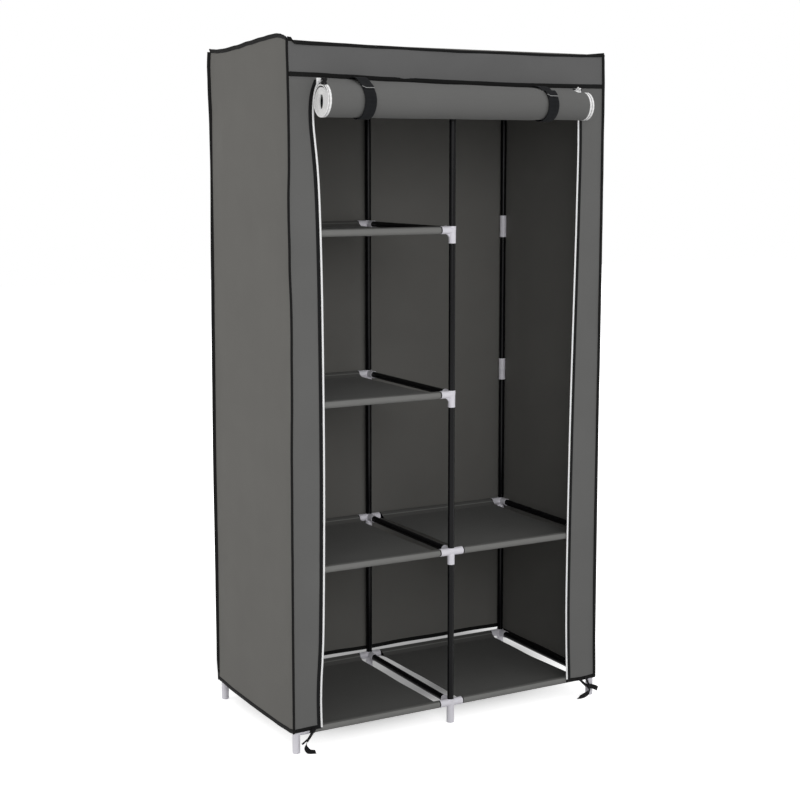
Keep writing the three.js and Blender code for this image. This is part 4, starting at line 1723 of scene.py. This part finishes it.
lowest_ribbon = 1.2 * mm


def ribbon_run(name, route, width):
    """Route holds x, y from the front and z in millimetres, and the twist in degrees. A ribbon that
    reaches the floor lies on it."""
    curve = smooth_route(route)

    def spot(u):
        x, y, z = curve(u)[:3]
        return Vector((x * mm, front_y - y * mm, z * mm))

    def place(u, v):
        ahead = (spot(min(u + 0.01, 1)) - spot(max(u - 0.01, 0))).normalized()
        twist = math.radians(curve(u)[3])
        flat = ahead.cross(Vector((0, 1, 0))).normalized()
        deep = flat.cross(ahead)
        across = flat * math.cos(twist) + deep * math.sin(twist)
        cup = deep * math.cos(twist) - flat * math.sin(twist)
        share = 2 * v - 1
        made = spot(u) + across * width / 2 * share + cup * 0.6 * mm * (1 - share * share)
        made.z = max(made.z, lowest_ribbon)
        return made

    length = sum((spot((s + 1) / 30) - spot(s / 30)).length for s in range(30))
    build = laid_grid(40, 6, place, (length, width))
    side = "left" if name.startswith("tie_left") else "right"
    piece = finished_piece(name, thicken(build, 0.6 * mm), [ribbon],
                           replaces=[f"tie_{side}"])


def knot_wrap(name, centre, radius, width, axis):
    """A tight wrap of ribbon round the bundle, about the given axis."""
    axis = Vector(axis).normalized()
    first = axis.orthogonal().normalized()
    second = axis.cross(first)

    def ring(u):
        turn = 2 * math.pi * u * 1.04
        swell = radius * (1 + 0.06 * math.sin(3 * turn)) + 0.35 * mm * u
        return Vector(centre) + first * swell * math.cos(turn) + second * swell * 0.8 * math.sin(turn)

    bound_line(name, ring, lambda u: axis, width, 1.5 * mm, 36, 0.03, inset=width / 2, finish=ribbon)


left_ties = {
    "trunk": ([(-390, 3, 60, 5), (-394, 4, 50, 12), (-401, 5, 40, 25), (-409, 6, 29, 40)], 10),
    "thin_tail": ([(-402, 5, 44, 60), (-408, 7, 36, 82), (-416, 8, 31, 84), (-424, 8, 26, 84)], 9),
    "tail": ([(-408, 6, 31, 60), (-412, 7, 23, 52), (-413, 9, 15, 10), (-409, 11, 8, -6),
              (-401, 12, 4, 20), (-390, 13, 3.5, 62)], 12),
}
right_ties = {
    "left_arm": ([(384, 3, 53, 5), (391, 5, 50, 12), (399, 6, 41, 30), (410, 7, 31, 20)], 8),
    "right_arm": ([(408, 3, 55, 30), (410, 4, 50, 35), (414, 6, 41, 30), (417, 7, 31, 20)], 8),
    "right_tail": ([(415, 7, 29, 20), (424, 8, 27.5, 4), (434, 9, 24, 0), (443, 11, 19, 14)], 12),
    "tail": ([(417, 7, 27, 30), (420, 8, 18, 40), (412, 10, 11.5, 8), (398, 12, 7.5, 0),
              (384, 14, 5, 10), (376, 15, 4, 50)], 13),
}
for side, ties in (("left", left_ties), ("right", right_ties)):
    for part, (route, width) in ties.items():
        ribbon_run(f"tie_{side}_{part}", route, width * mm)
knot_wrap("tie_left_knot", (-392 * mm, front_y - 4 * mm, 54 * mm), 5 * mm, 9 * mm, (-0.35, 0, -1))
knot_wrap("tie_right_knot", (415 * mm, front_y - 6.5 * mm, 30 * mm), 4.6 * mm, 8 * mm, (0.45, 0, -1))
print("ribbons tied")
